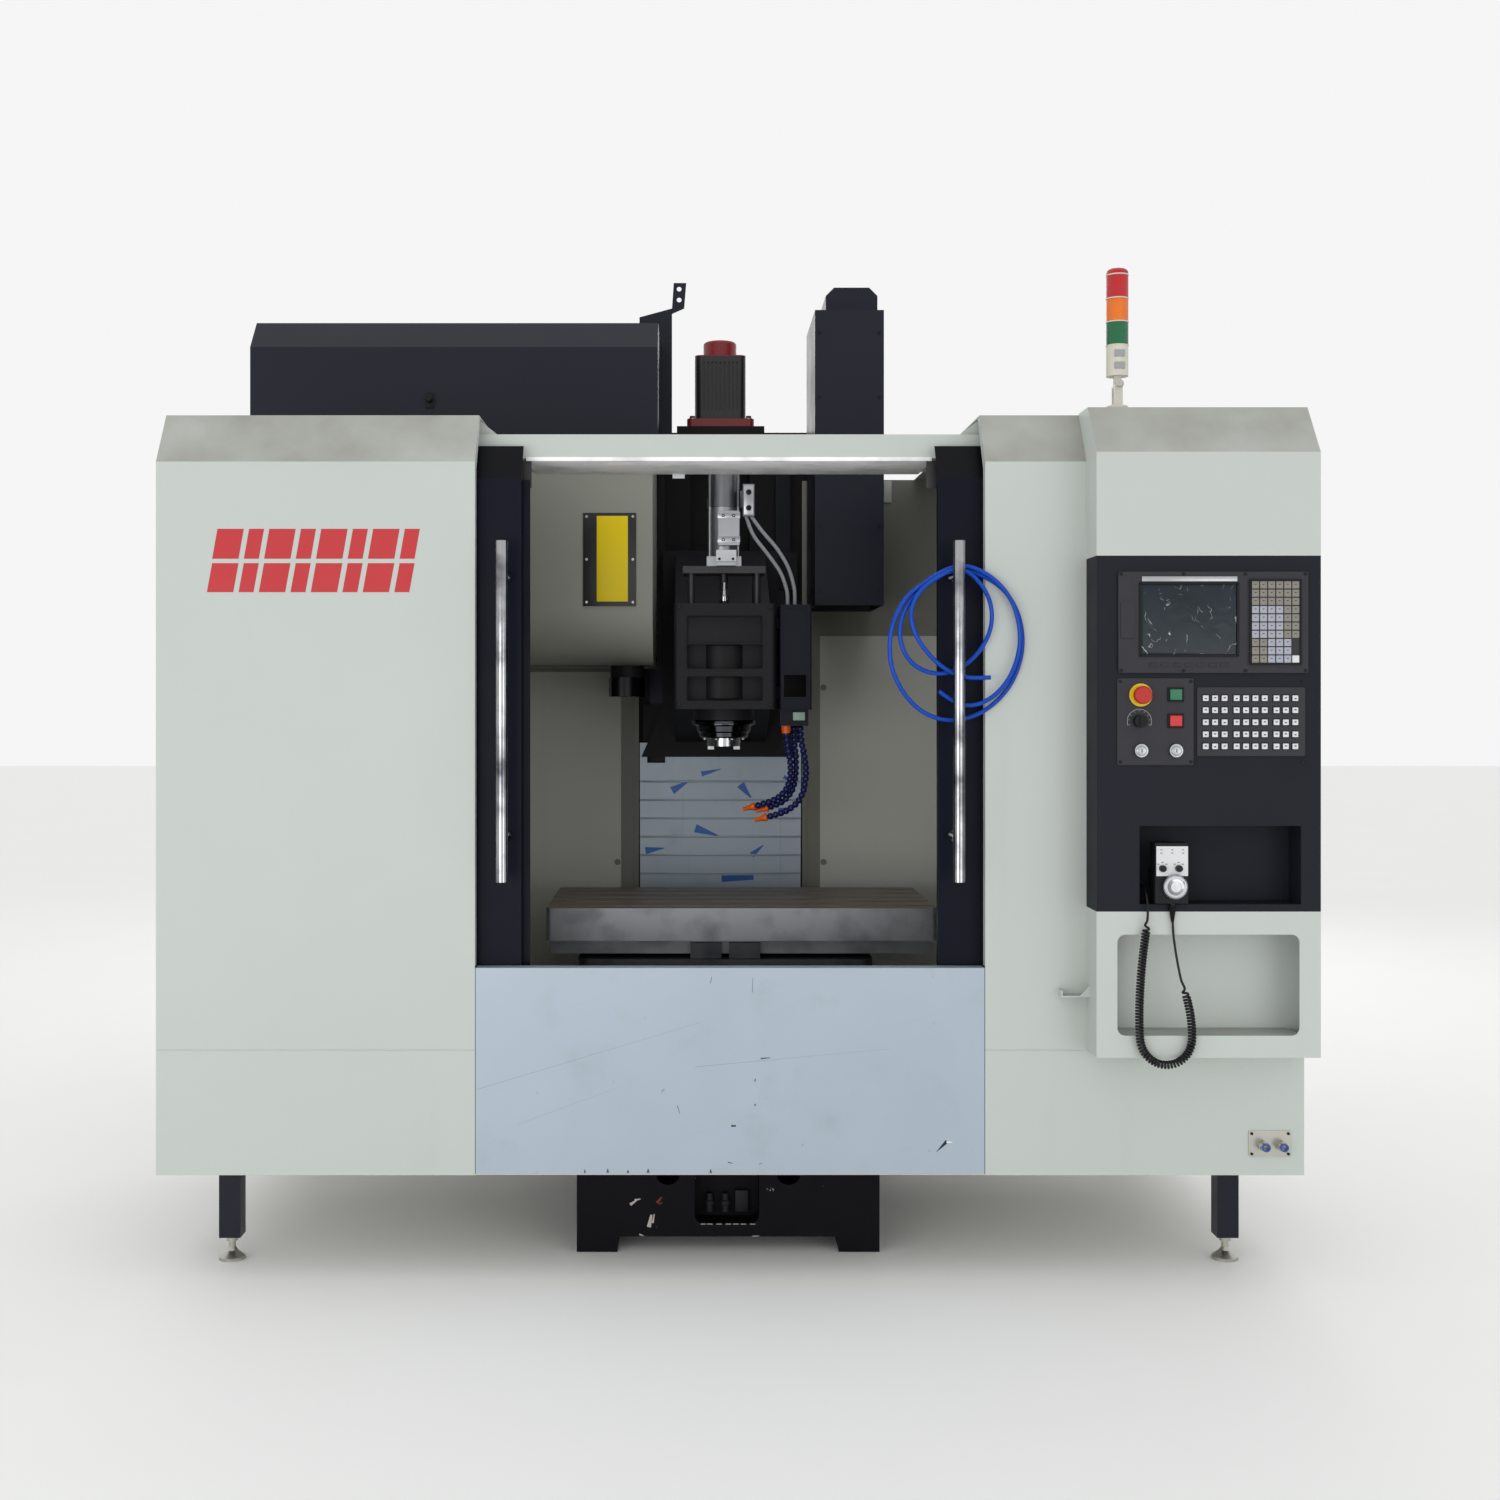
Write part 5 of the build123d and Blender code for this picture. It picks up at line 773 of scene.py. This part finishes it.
# The pendant's curly cord: a straight lead down, a helix around the U, and a lead back into the recess
gland_x = 976
gland_y = -1157.5
cord_y = -1163
socket_x = 921
cord_route = [
    (gland_x, gland_y, 852), (gland_x, gland_y, 812), (gland_x + 6, cord_y, 755), (gland_x + 18, cord_y, 693),
    (gland_x + 33, cord_y, 650), (gland_x + 42, cord_y, 598), (gland_x + 42, cord_y, 544),
    (gland_x + 9, cord_y, 510), (gland_x - 38, cord_y, 510), (gland_x - 72, cord_y, 544),
    (gland_x - 75, cord_y, 600), (gland_x - 74, cord_y, 660), (gland_x - 69, cord_y, 735),
    (gland_x - 60, cord_y, 803), (gland_x - 56, cord_y - 2, 838), (socket_x, cord_y + 7, 875),
    (socket_x, cord_y + 34, 902), (socket_x, -1082, 902),
]
strand_r = 2.75
curl_r = 7.2
curl_pitch = 6.8
curl_steps = 14
curl_ease = 38.0
curl_clear = 3.0
lead_out_length = 159.0
lead_back_length = 118.0


def curled(points, along, start, end):
    """The line's points with a helix wound round it from start to end, both measured along it."""
    wound = [p for p, s in zip(points, along) if s <= start - curl_clear]
    side = Vector((1, 0, 0))
    count = int((end - start) / curl_pitch * curl_steps)
    spot = 0
    turn = 0.0
    for number in range(1, count):
        s = start + (end - start) * number / count
        while along[spot + 1] < s:
            spot += 1
        share = (s - along[spot]) / (along[spot + 1] - along[spot])
        centre = points[spot].lerp(points[spot + 1], share)
        before = points[max(0, spot - 2)]
        after = points[min(len(points) - 1, spot + 3)]
        heading = (after - before).normalized()
        side = (side - heading * side.dot(heading)).normalized()
        cross = heading.cross(side)
        opening = min(1.0, (s - start) / curl_ease, (end - s) / curl_ease)
        turn += 2 * math.pi * (end - start) / count / curl_pitch * opening**2
        wound.append(centre + (side * math.cos(turn) + cross * math.sin(turn)) * curl_r * opening)
    return wound + [p for p, s in zip(points, along) if s >= end + curl_clear]


cord_points = traced(cord_route)
cord_along = distances(cord_points)
cord_points = curled(cord_points, cord_along, lead_out_length, cord_along[-1] - lead_back_length)
pendant_cord = nurbs_line("pendant_curly_cord", cord_points, strand_r, 2)
pendant_cord.data.resolution_u = 2
pendant_cord.data.materials.append(pvc_black)
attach(pendant_cord, "frame")
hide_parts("pendant_cord")

# Screen unit: the fronts that its parts stand on, then socket screws, glass and keys
unit_front = -1150
plate_front = -1153
screen_face = -1156
mdi_face = -1158
spots = grid((863, 1001, 1138, 1271), screen_face, (1381, 1595)) + grid((862, 1018), plate_front, (1179, 1357))
spots += grid((1029, 1266), unit_front, (1178, 1356))
finish_piece(repeated(socket_screw(3.4, 2.4), spots), "panel_socket_screws", black_steel, "frame")
glass = sunk(slab(907.6, 1118.4, -1154.8, -1152.6, 1416.6, 1571.4, 0.5), (0, -1, 0), 4, 0.6)
finish_piece(glass, "display_pane", display_glass, "frame")

key_columns = [1032 + offset for offset in (18.2, 38.8, 59.9, 86.7, 107.3, 128.1, 148.7, 174.9, 195.5, 216.5)]
key_places = grid(key_columns, plate_front, [1320 - row * 26.65 for row in range(5)])
white_caps = repeated(key_cap(6.2, 6.2, 4.0, 0.5), key_places)
finish_piece(white_caps, "machine_key_caps", key_white, "frame")
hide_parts("panel_keys")
wells = repeated(slab(-8.4, 8.4, -0.35, 0, -8.2, 8.2, 0.3), key_places)
finish_piece(wells, "machine_key_wells", black_abs, "frame")
signs = [(x, y - 3.5, z + (0.9 if number % 3 else -0.9)) for number, (x, y, z) in enumerate(key_places)]
signs = repeated(slab(-2.4, 2.4, -0.2, 0, -1.3, 1.3, 0.15, 1), signs)
finish_piece(signs, "machine_key_marks", plate_black, "frame")

keypad_x = 1203.5
keypad_z = 1488.5
keypad_pitch_x = 17.8
keypad_pitch_z = 18.2
taupe_places = []
lilac_places = []
for column in range(6):
    for row in range(10):
        spot = (keypad_x + (column - 2.5) * keypad_pitch_x, mdi_face, keypad_z + (4.5 - row) * keypad_pitch_z)
        lilac = 3 <= row <= 6 and column <= 3 or row >= 7 and 2 <= column <= 4
        if column == 5 and row >= 7:
            continue
        (lilac_places if lilac else taupe_places).append(spot)
for name, finish, places in (
    ("keypad_taupe_caps", key_taupe, taupe_places),
    ("keypad_lilac_caps", key_lilac, lilac_places),
    ("keypad_corner_cap", key_white, [(1248, mdi_face, 1406.6)]),
):
    finish_piece(repeated(key_cap(7.7, 7.9, 2.6, 0.35), places), name, finish, "frame")
strokes = [(x, y - 2.25, z + 1.5) for x, y, z in taupe_places + lilac_places]
stroke = slab(-2.2, 2.2, -0.2, 0, -0.9, 0.9, 0.1, 1)
finish_piece(repeated(stroke, strokes), "keypad_marks", plate_black, "frame")
soft = [(1013 + (number - 3) * 26, screen_face, 1394) for number in range(7)]
finish_piece(repeated(key_cap(9, 4, 2.0, 0.4), soft), "soft_key_caps", plate_black, "frame")

# Switch plate: the stop's yellow ring, the dial's arc with its ticks, and two slotted silver round keys
finish_piece(collar(25.5, 14.8, 1.6, (907, plate_front, 1327), "-y"), "estop_yellow_ring", ring_yellow, "frame")
dial = (904, plate_front, 1269)
arc = collar(27.4, 26.3, 0.25, dial, "-y", 48)
edit(arc)
arc_foot = Vector((904, plate_front, 1259)) / 1000
bpy.ops.mesh.bisect(plane_co=arc_foot, plane_no=(0, 0, -1), clear_outer=True, use_fill=True)
bpy.ops.object.mode_set(mode="OBJECT")
finish_piece(arc, "dial_arc", key_grey, "frame")
tick_angles = [200 - number * 27.5 for number in range(9)]
ticks = fanned((-1.9, 1.9, -0.25, 0, -0.4, 0.4, 0), dial, 23.5, tick_angles)
finish_piece(ticks, "dial_ticks", key_grey, "frame")
round_profile = [
    (15.4, 0), (15.6, 1.2), (15.6, 6.6), (14.6, 8.4), (11.6, 8.6), (11.4, 10.6), (10.2, 11.4), (4, 11.3),
]
round_keys = repeated(turned(round_profile, ORIGIN, "-y"), grid((907, 984), plate_front, (1204,)))
finish_piece(round_keys, "silver_round_keys", aluminium, "frame")
key_slots = repeated(slab(-1.0, 1.0, -0.3, 0, -4.2, 4.2, 0.15), grid((907, 984), plate_front - 11.2, (1204,)))
finish_piece(key_slots, "round_key_slots", black_abs, "frame")

# Hand pendant: two satin knobs and small marks on its face plate, and the pulse wheel's grip ring
pendant_front = -1163.8
knob = turned([(7.6, 0), (7.8, 5), (6.9, 9.6), (6.0, 10.4), (2.0, 10.6)], ORIGIN, "-y", 24)
finish_piece(repeated(knob, grid((952, 988), pendant_front, (944,))), "pendant_knobs", black_steel, "frame")
spots = [(x + dx, pendant_front, 956.5 + dz) for x in (952, 988) for dx, dz in ((-9, -3), (0, 1), (9, -3))]
spots += grid((950, 974, 998), pendant_front, (978, 985))
stroke = slab(-2.2, 2.2, -0.2, 0, -0.8, 0.8, 0.1, 1)
finish_piece(repeated(stroke, spots), "pendant_marks", plate_black, "frame")
wheel = (979, -1149.5, 904)
grips = fanned((-1.1, 1.1, -24, 0, -1.0, 1.0, 0.5, 1), wheel, 26.2, range(0, 360, 10))
finish_piece(grips, "pulse_wheel_grips", aluminium, "wheel")


def strung(profile, points, start, pitch, count):
    """Turned parts strung along the points, each turned to follow them."""
    master = turned(profile, sides=20)
    along = distances(points)
    copies = []
    for number in range(count):
        s = start + number * pitch
        spot = max(i for i in range(len(points) - 1) if along[i] <= s)
        heading = (points[spot + 1] - points[spot]).normalized()
        copy = twin(master)
        copy.rotation_mode = "QUATERNION"
        copy.rotation_quaternion = heading.to_track_quat("Z", "Y")
        copy.location = (points[spot] + heading * (s - along[spot])) / 1000
        copies.append(copy)
    bpy.data.objects.remove(master)
    fixed_in_mesh(*copies)
    return copies


# Coolant hoses: navy ball-and-socket segments with orange nozzles, under the manifold
coolant_routes = [
    [
        (164, -380, 1248), (164, -380, 1216), (172, -380, 1172), (178, -376, 1134),
        (172, -370, 1087), (147, -362, 1056), (112, -354, 1040), (78, -346, 1031),
    ],
    [
        (202, -380, 1248), (202, -380, 1216), (213, -380, 1168), (219, -377, 1116),
        (207, -372, 1058), (177, -366, 1026), (140, -360, 1010), (108, -354, 1002),
    ],
    [
        (186, -358, 1248), (186, -358, 1216), (190, -357, 1172), (192, -355, 1128),
        (186, -350, 1080), (164, -345, 1048), (132, -340, 1032), (104, -337, 1024),
    ],
]
segment_pitch = 15.0
segment_profile = [(4.8, 0), (6.8, 1.0), (8.7, 4.4), (9.1, 8.2), (8.0, 11.6), (5.6, 12.8), (5.0, 15.6)]
nozzle_profile = [
    (7.0, 0), (10.6, 1.5), (10.8, 8), (8.6, 9.5), (8.2, 15),
    (6.8, 16.5), (5.4, 32), (4.6, 35), (3.2, 35.2), (3.0, 31),
]
segments = []
nozzles = []
for route in coolant_routes:
    points = traced(route)
    count = int((distances(points)[-1] - 2) / segment_pitch)
    segments += strung(segment_profile, points, 1.0, segment_pitch, count)
    nozzles += strung(nozzle_profile, points, 1.0 + count * segment_pitch, 1.0, 1)
beads = finish_piece(joined(segments), "coolant_hose_segments", acetal_navy, "head", 50)
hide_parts("coolant_hoses")
finish_piece(joined(nozzles), "coolant_nozzles", acetal_orange, "head", 50)

# Turned parts: name, finish, body, place, axis, sides, and radius and height of each ring
turned_parts = [
    ("pulse_wheel_boss", chrome_painted_reflections, "wheel", (979, -1175, 904), "-y", 40, [
        (18.5, 0), (18.0, 1.1), (12, 1.6), (11.4, 0.9), (4, 0.8),
    ]),
    ("pendant_strain_relief", rubber, "frame", (976, -1157.5, 860), "-z", 24, [
        (7.4, 0), (7.4, 6), (6.6, 9), (6.8, 12), (5.6, 15),
        (5.8, 18), (4.8, 21), (5.0, 24), (4.0, 28), (3.6, 34),
    ]),
    ("coolant_root_fitting", acetal_orange, "head", (164, -380, 1250), "-z", 24, [
        (12.4, 0), (12.8, 3), (12.8, 12), (11.6, 15), (11.4, 22),
    ]),
    # The dark quill housing behind the head's two windows, and the labyrinth ring of the spindle nose
    ("quill_housing", black_abs, "head", (0, -300, 0), "z", 64, [
        (96, 1318), (98, 1320), (98, 1376), (96, 1378), (96, 1396), (98, 1398), (98, 1460), (96, 1462),
    ]),
    ("labyrinth_ring", nose_steel_painted_dark, "head", (0, -300, 0), "z", 64, [
        (84, 1262), (86, 1258), (86, 1250), (74, 1246), (72, 1232), (67, 1228), (66, 1218), (60, 1214),
    ]),
    ("drawbar_indicator", chrome_painted_reflections, "head", (0, -372, 0), "z", 24, [
        (12, 1571), (13, 1574), (13, 1592), (10, 1594), (10, 1606), (7, 1608), (7, 1628), (5, 1630),
    ]),
    ("tower_hinge_screw", zinc, "frame", (892, -1025, 2040), "-y", 24, [
        (9, 0), (9, 3), (7.4, 4.4), (2.4, 4.4),
    ]),
]
for name, finish, body, place, axis, sides, profile in turned_parts:
    finish_piece(turned(profile, place, axis, sides), name, finish, body)

# Flat frames: name, finish, body, then left, right, foot, top, front, depth, width and corner radius
start_edges = (966.5, 1001.5, 1312, 1344, plate_front - 4.2)
stop_edges = (966.5, 1001.5, 1254, 1286, plate_front - 4.2)
frames = [
    ("display_bezel", black_abs, "frame", (902, 1124, 1411, 1577, -1157.6, 1.7, 5.4, 3)),
    ("keypad_frame", black_abs, "frame", (1146, 1261, 1393.5, 1583.5, -1160.6, 2.7, 3.6, 2.5)),
    ("start_surround", black_abs, "frame", (*start_edges, 4.2, 3.1, 1.5)),
    ("stop_surround", black_abs, "frame", (*stop_edges, 4.2, 3.1, 1.5)),
    ("head_upper_frame", head_paint, "head", (-102.5, 102.5, 1395, 1541, -431.2, 1.6, 3.0, 9)),
    ("head_lower_frame", head_paint, "head", (-102.5, 102.5, 1311, 1381, -431.2, 1.6, 3.0, 9)),
    ("side_box_lid_rim", wrinkle, "head", (150, 225, 1296, 1561, -427.6, 2.8, 4.0, 4)),
    ("side_box_window_rim", black_abs, "head", (153.5, 216.5, 1321.5, 1384.5, -427.0, 2.6, 2.6, 3)),
    ("left_door_pane_rubber", rubber, "left_door", (-984, -582, 994, 1706, -1012.4, 2.6, 13, 30)),
    ("right_door_pane_rubber", rubber, "right_door", (582, 984, 994, 1706, -1012.4, 2.6, 13, 30)),
]
for name, finish, body, edges in frames:
    finish_piece(flat_frame(*edges), name, finish, body)

# Plain blocks: name, finish, body, then both x, both y, both z and the bevel of each block
rim_x = (-66, -50, -28, -6, 12, 30, 52)
blocks = [
    ("silver_trim_strip", aluminium, "frame", (908.6, 1119.4, -1158.4, -1156.8, 1578.4, 1589.4, 0.5)),
    ("pendant_face_plate", key_white, "frame", (939, 1009, -1163.8, -1161.8, 927, 993, 0.8)),
    # On the spindle head: connector, flat plate over the windows, valve block with its caps, side box window
    ("sensor_connector", plug_green, "head", (180, 212, -418.5, -408, 1262, 1284, 2)),
    ("head_front_plate", head_paint, "head", (-96, 96, -423.2, -420.8, 1466, 1535, 1.5)),
    ("valve_white_block", key_white, "head", (-22, 32, -386, -381, 1683, 1714, 1.2)),
    ("valve_end_caps", aluminium, "head", *[(-18, 42, -384, -381.4, z, z + 17, 1) for z in (1733, 1797)]),
    ("terminal_plate_front", aluminium, "head", (52, 78, -376.4, -371.6, 1808, 1886, 1.2)),
    ("side_box_window", dark_pane, "head", (157, 213, -427.2, -424, 1325, 1381, 1)),
    # Magazine sign: a black plate with a plain yellow field
    ("magazine_sign_plate", sign_black, "frame", (-373, -233, -404.4, -401.6, 1564, 1810, 0.6)),
    ("magazine_sign_field", sign_yellow, "frame", (-337, -255, -405.2, -404.2, 1576, 1802, 0.3)),
    ("z_cover_slot", black_abs, "head", (-219, -165, 212.6, 214.8, 1128, 1152, 1)),
    # The strip folded under the crossbeam with its hem, and a small white clip behind it
    ("beam_soffit_strip", strip_painted_bright, "frame", (-474, 474, -934, -692, 1874.6, 1877.2, 0.6)),
    ("beam_strip_hem", strip_painted_bright, "frame", (-474, 474, -937.2, -934.2, 1874.6, 1884, 1.0)),
    ("beam_lamp_clip", key_white, "frame", (-134, -104, -702, -694, 1863.6, 1874.2, 0.8)),
    ("tower_body_windows", key_grey, "tower", *[
        (880, 904, -1026.2, -1022, 2074, 2090, 1), (880, 904, -1026.2, -1022, 2102, 2118, 1),
    ]),
    # The recess's worn lower rim and the bracket at its back
    ("recess_worn_rim", filler_grey, "frame", *[(x, x + 13, -854.5, -850, 65.4, 67.6, 0.3, 1) for x in rim_x]),
    ("recess_bracket", head_paint, "frame", (18, 50, -800, -786, 80, 132, 2)),
    # Splash panels before the wall, in the lighter inner enamel as painted light; its folded edges beside the
    # column, in the darker wall enamel as painted shade; and a bracket under the cover's top
    ("splash_panels", inner_cream_painted_light, "frame", *[
        (297, 1298, 203.1, 205, 304, 1507, 0.5), (-1298, -297, 203.1, 205, 304, 1400, 0.5),
    ]),
    ("wall_edge_folds", shaded_wall_cream, "frame", *[
        (243.6, 262.4, 205.7, 207.6, 472, 1970, 0.3), (-262.4, -243.6, 205.7, 207.6, 472, 1970, 0.3),
    ]),
    ("wall_top_bracket", cream, "frame", (484, 510, 200.4, 205, 1905, 1970, 0.8)),
    ("main_switch_plate", ring_yellow, "cabinet_door", (-225, -155, 1173.5, 1176, 1665, 1735, 1)),
]
for name, finish, body, *corners in blocks:
    finish_piece(joined([slab(*numbers) for numbers in corners]), name, finish, body)

# Rows of socket screws on front faces: name, finish, body, radius, height, and columns, depth and rows
screw_rows = [
    ("head_corner_screws", black_steel, "head", 6, 5, (-120, 120), -430, (1304, 1560)),
    ("valve_screws", black_steel, "head", 4.5, 3, (-3, 25), -382, (1741, 1805)),
    ("white_block_screws", black_steel, "head", 3.6, 2.4, (-13, 23), -386, (1690,)),
    ("side_box_screws", black_steel, "head", 3.2, 2.2, (157, 218), -425, (1303, 1440, 1554)),
    ("magazine_sign_screws", zinc, "frame", 3.6, 2.2, (-364, -242), -404.4, (1574, 1687, 1800)),
    ("air_plate_screws", black_steel, "frame", 3.2, 2.4, (1185, 1268), -1052, (285, 331)),
    ("guard_screws", black_steel, "frame", 4.4, 3, range(-1280, -180, 180), -185, (2010,)),
    ("duct_screws", black_steel, "frame", 4.4, 3, (270, 436), -150, (1620, 1800, 1980, 2160, 2340)),
    ("gearbox_screws", zinc, "frame", 6, 5, (-318, -207), -330, (1458, 1570, 1682)),
]
for name, finish, body, radius, height, xs, y, zs in screw_rows:
    finish_piece(repeated(socket_screw(radius, height), grid(xs, y, zs)), name, finish, body)

# Spindle nose: the ring of eight screws in its flange
ring_r = 56
ring_angles = [math.radians(22.5 + number * 45) for number in range(8)]
ring_spots = [(ring_r * math.cos(angle), -300 + ring_r * math.sin(angle), 1213) for angle in ring_angles]
finish_piece(repeated(socket_screw(4, 4, "-z"), ring_spots), "labyrinth_screws", zinc, "head")

# Terminal plate beside the drawbar cylinder: two round connectors
plugs = [turned([(7.4, 0), (7.4, 4), (5.4, 5)], (65, -376.4, z), "-y", 20) for z in (1826, 1868)]
finish_piece(joined(plugs), "terminal_connectors", black_abs, "head")

# Plain red stencilled bars on the left cover, with the bridges that a stencil leaves, sheared to the right
lean = 12
bars = []
for left, width in ((0, 60), (72, 34), (118, 60), (190, 34), (236, 60), (308, 34), (354, 60), (426, 34)):
    for low, high, start in ((1561, 1627, 0), (1637, 1705, lean)):
        bar = slab(-1189 + left, -1189 + left + width, -1050.35, -1049.9, low, high, 0)
        bars.append(stood(shifted(bar, lambda normal: normal.z > 0.99, (lean, 0, 0)), (start, 0, 0)))
finish_piece(joined(bars), "red_stencil_bars", stencil_red, "frame")

# Telescopic cover: each plate's folded lip, which draws a line across the one below
for number in range(2, 8):
    face_y = 243 - 4 * number
    foot_z = 794 + 55.2 * (number - 2)
    lip = slab(-240, 240, face_y - 2.2, face_y + 1.0, foot_z - 0.5, foot_z + 5, 0.8)
    finish_piece(lip, f"z_cover_lip_{number}", apron_film, "head" if number == 7 else f"cover_{number}")

# Air inlet plate: two push-in fittings with blue release rings on hexagon flanges
fittings = [collar(9.6, 6.2, 5.5, (x, -1074, 305), "-y", 28) for x in (1210, 1251)]
finish_piece(joined(fittings), "air_release_rings", fitting_blue, "frame")
flanges = [turned([(13, 0), (13, 8), (11, 10)], (x, -1052, 305), "-y", 6) for x in (1210, 1251)]
finish_piece(joined(flanges), "air_fitting_nuts", zinc, "frame")

# Signal tower: pale rings between the lenses
seams = [collar(25.9, 22, 2.6, (892, -1000, z), "z", 48) for z in (2129, 2183, 2237, 2291)]
finish_piece(joined(seams), "tower_ring_seams", tower_white, "tower")

# Doors: plugs in the ends of the handle tubes, and flanges where their standoffs meet the doors
plug_profile = [(11.6, -4), (13.4, 0.2), (13.2, 1.6), (9, 2.6), (2, 2.8)]
for x, body in ((-514, "left_door"), (514, "right_door")):
    caps = [turned(plug_profile, (x, -1095, z), axis, 32) for z, axis in ((1674, "z"), (907, "-z"))]
    finish_piece(joined(caps), f"{body}_handle_plugs", black_abs, body)
    collars = [collar(13.5, 6.1, 3.0, (x, -1013, z), "-y", 32) for z in (1005, 1599)]
    finish_piece(joined(collars), f"{body}_standoff_flanges", chrome_painted_reflections, body)

# Rear guard: the latch on its face
latch = joined([
    slab(-822, -798, -188.5, -184.5, 2122, 2166, 2),
    turned([(8, 0), (8.4, 12), (11, 14), (11, 24), (8, 27), (3, 27.4)], (-810, -188, 2146), "-y", 24),
])
finish_piece(latch, "guard_latch", black_abs, "frame")

# Motor flange: hexagon bolt heads on washers
bolt_r = 9
bolt_h = 10
washer_profile = [(bolt_r * 1.35, 0), (bolt_r * 1.35, bolt_h * 0.22), (bolt_r * 1.25, bolt_h * 0.25)]
bolt_profile = [(bolt_r, bolt_h * 0.25), (bolt_r, bolt_h * 0.9), (bolt_r * 0.86, bolt_h)]
bolt = joined([turned(washer_profile, sides=20), turned(bolt_profile, sides=6)])
flange_spots = [(x, 290 + y, 2154) for x in (-84, 84) for y in (-84, 84)]
finish_piece(repeated(bolt, flange_spots), "motor_flange_bolts", zinc, "frame")

# Base casting: two pipe stubs at the back of its recess
stub = turned([(9, 0), (9, 16), (12, 18), (12, 26), (8, 28), (8, 44), (3, 44.4)], sides=24)
finish_piece(repeated(stub, grid((-44, -6), -800, (82,))), "recess_pipe_stubs", head_paint, "frame")

# Gussets between the beam and the doors' inner ends, narrow at the foot, in black enamel as painted shade; they
# are cream brackets lying in shade
gussets = []
for side in (-1, 1):
    gusset = slab(side * 462, side * 512, -932, -927, 1812, 1876, 0.6)
    pick(gusset, lambda normal: normal.z < -0.99)
    bpy.ops.transform.resize(value=(0.16, 1, 1), center_override=(side * 0.512, 0, 1.812))
    bpy.ops.object.mode_set(mode="OBJECT")
    gussets.append(gusset)
finish_piece(joined(gussets), "beam_gussets", sign_black, "frame")

# Service panels on the covers' outer sides, each held by eight flat screws
panel_face = 1306.1
flat_profile = [(6.5, 0), (6.5, 0.3), (5.6, 0.7), (1, 0.7)]
panel_spots = [(y, z) for y in (-625, -290, 45) for z in (775, 1160, 1545) if (y, z) != (-290, 1160)]
for side, label, axis in ((-1, "left", "-x"), (1, "right", "x")):
    panel = slab(side * 1304.9, side * panel_face, -640, 60, 760, 1560, 0.3)
    finish_piece(panel, f"{label}_service_panel", cream, "frame")
    spots = [(side * panel_face, y, z) for y, z in panel_spots]
    flat_screws = repeated(turned(flat_profile, ORIGIN, axis, 16), spots)
    finish_piece(flat_screws, f"{label}_service_screws", zinc, "frame")

# Lifting eyes on the cabinet's roof, and on the column beside the motor
eye_spots = [(x, y, 1900) for y in (900, 1110) for x in (-360, 360)] + [(-190, 640, 2130), (190, 640, 2130)]
eyes = []
for x, y, z in eye_spots:
    eyes.append(turned([(15, 0), (15, 4), (9, 6), (8, 12)], (x, y, z), "z", 24))
    eyes.append(collar(20, 12, 9, (x, y - 4.5, z + 30), "y", 32))
finish_piece(joined(eyes), "lifting_eyes", zinc, "frame")

# Electrical cabinet door: louvres, a fan's finger guard, and the main switch's red rotary handle
louvre = shifted(slab(-110, 110, 0, 6, -6, 6, 1.2), lambda normal: normal.z > 0.9, (0, -4.2, 0))
louvre_places = grid((-170, 190), 1173.6, range(420, 640, 22))
finish_piece(repeated(louvre, louvre_places), "cabinet_louvres", cabinet_cream, "cabinet_door")
guards = [collar(radius, radius - 3, 3, (190, 1174, 1720), "y", 40) for radius in (20, 36, 52, 68)]
guards.append(slab(118, 262, 1174, 1176.5, 1718.5, 1721.5, 0.6))
guards.append(slab(188.5, 191.5, 1174, 1176.5, 1648, 1792, 0.6))
finish_piece(joined(guards), "cabinet_fan_guard", black_steel, "cabinet_door")
handle = joined([
    turned([(26, 0), (26, 1.2), (22, 2.2)], (-190, 1175.8, 1700), "y", 40),
    slab(-196, -184, 1176, 1179.6, 1676, 1724, 1.6),
])
finish_piece(handle, "main_switch_handle", estop_red, "cabinet_door")

# Floor: pale even paint, so that only the machine's own shadow shows on it
fresh()
bpy.ops.mesh.primitive_plane_add(size=60, location=(0, 0, 0))
floor = bpy.context.object
floor.name = "studio_floor"
floor_paint = enamel("pale_studio_floor", "#F2F2F1", "#EFEFEE", 6.0, 0.02, 0.6)
floor.data.materials.append(floor_paint)
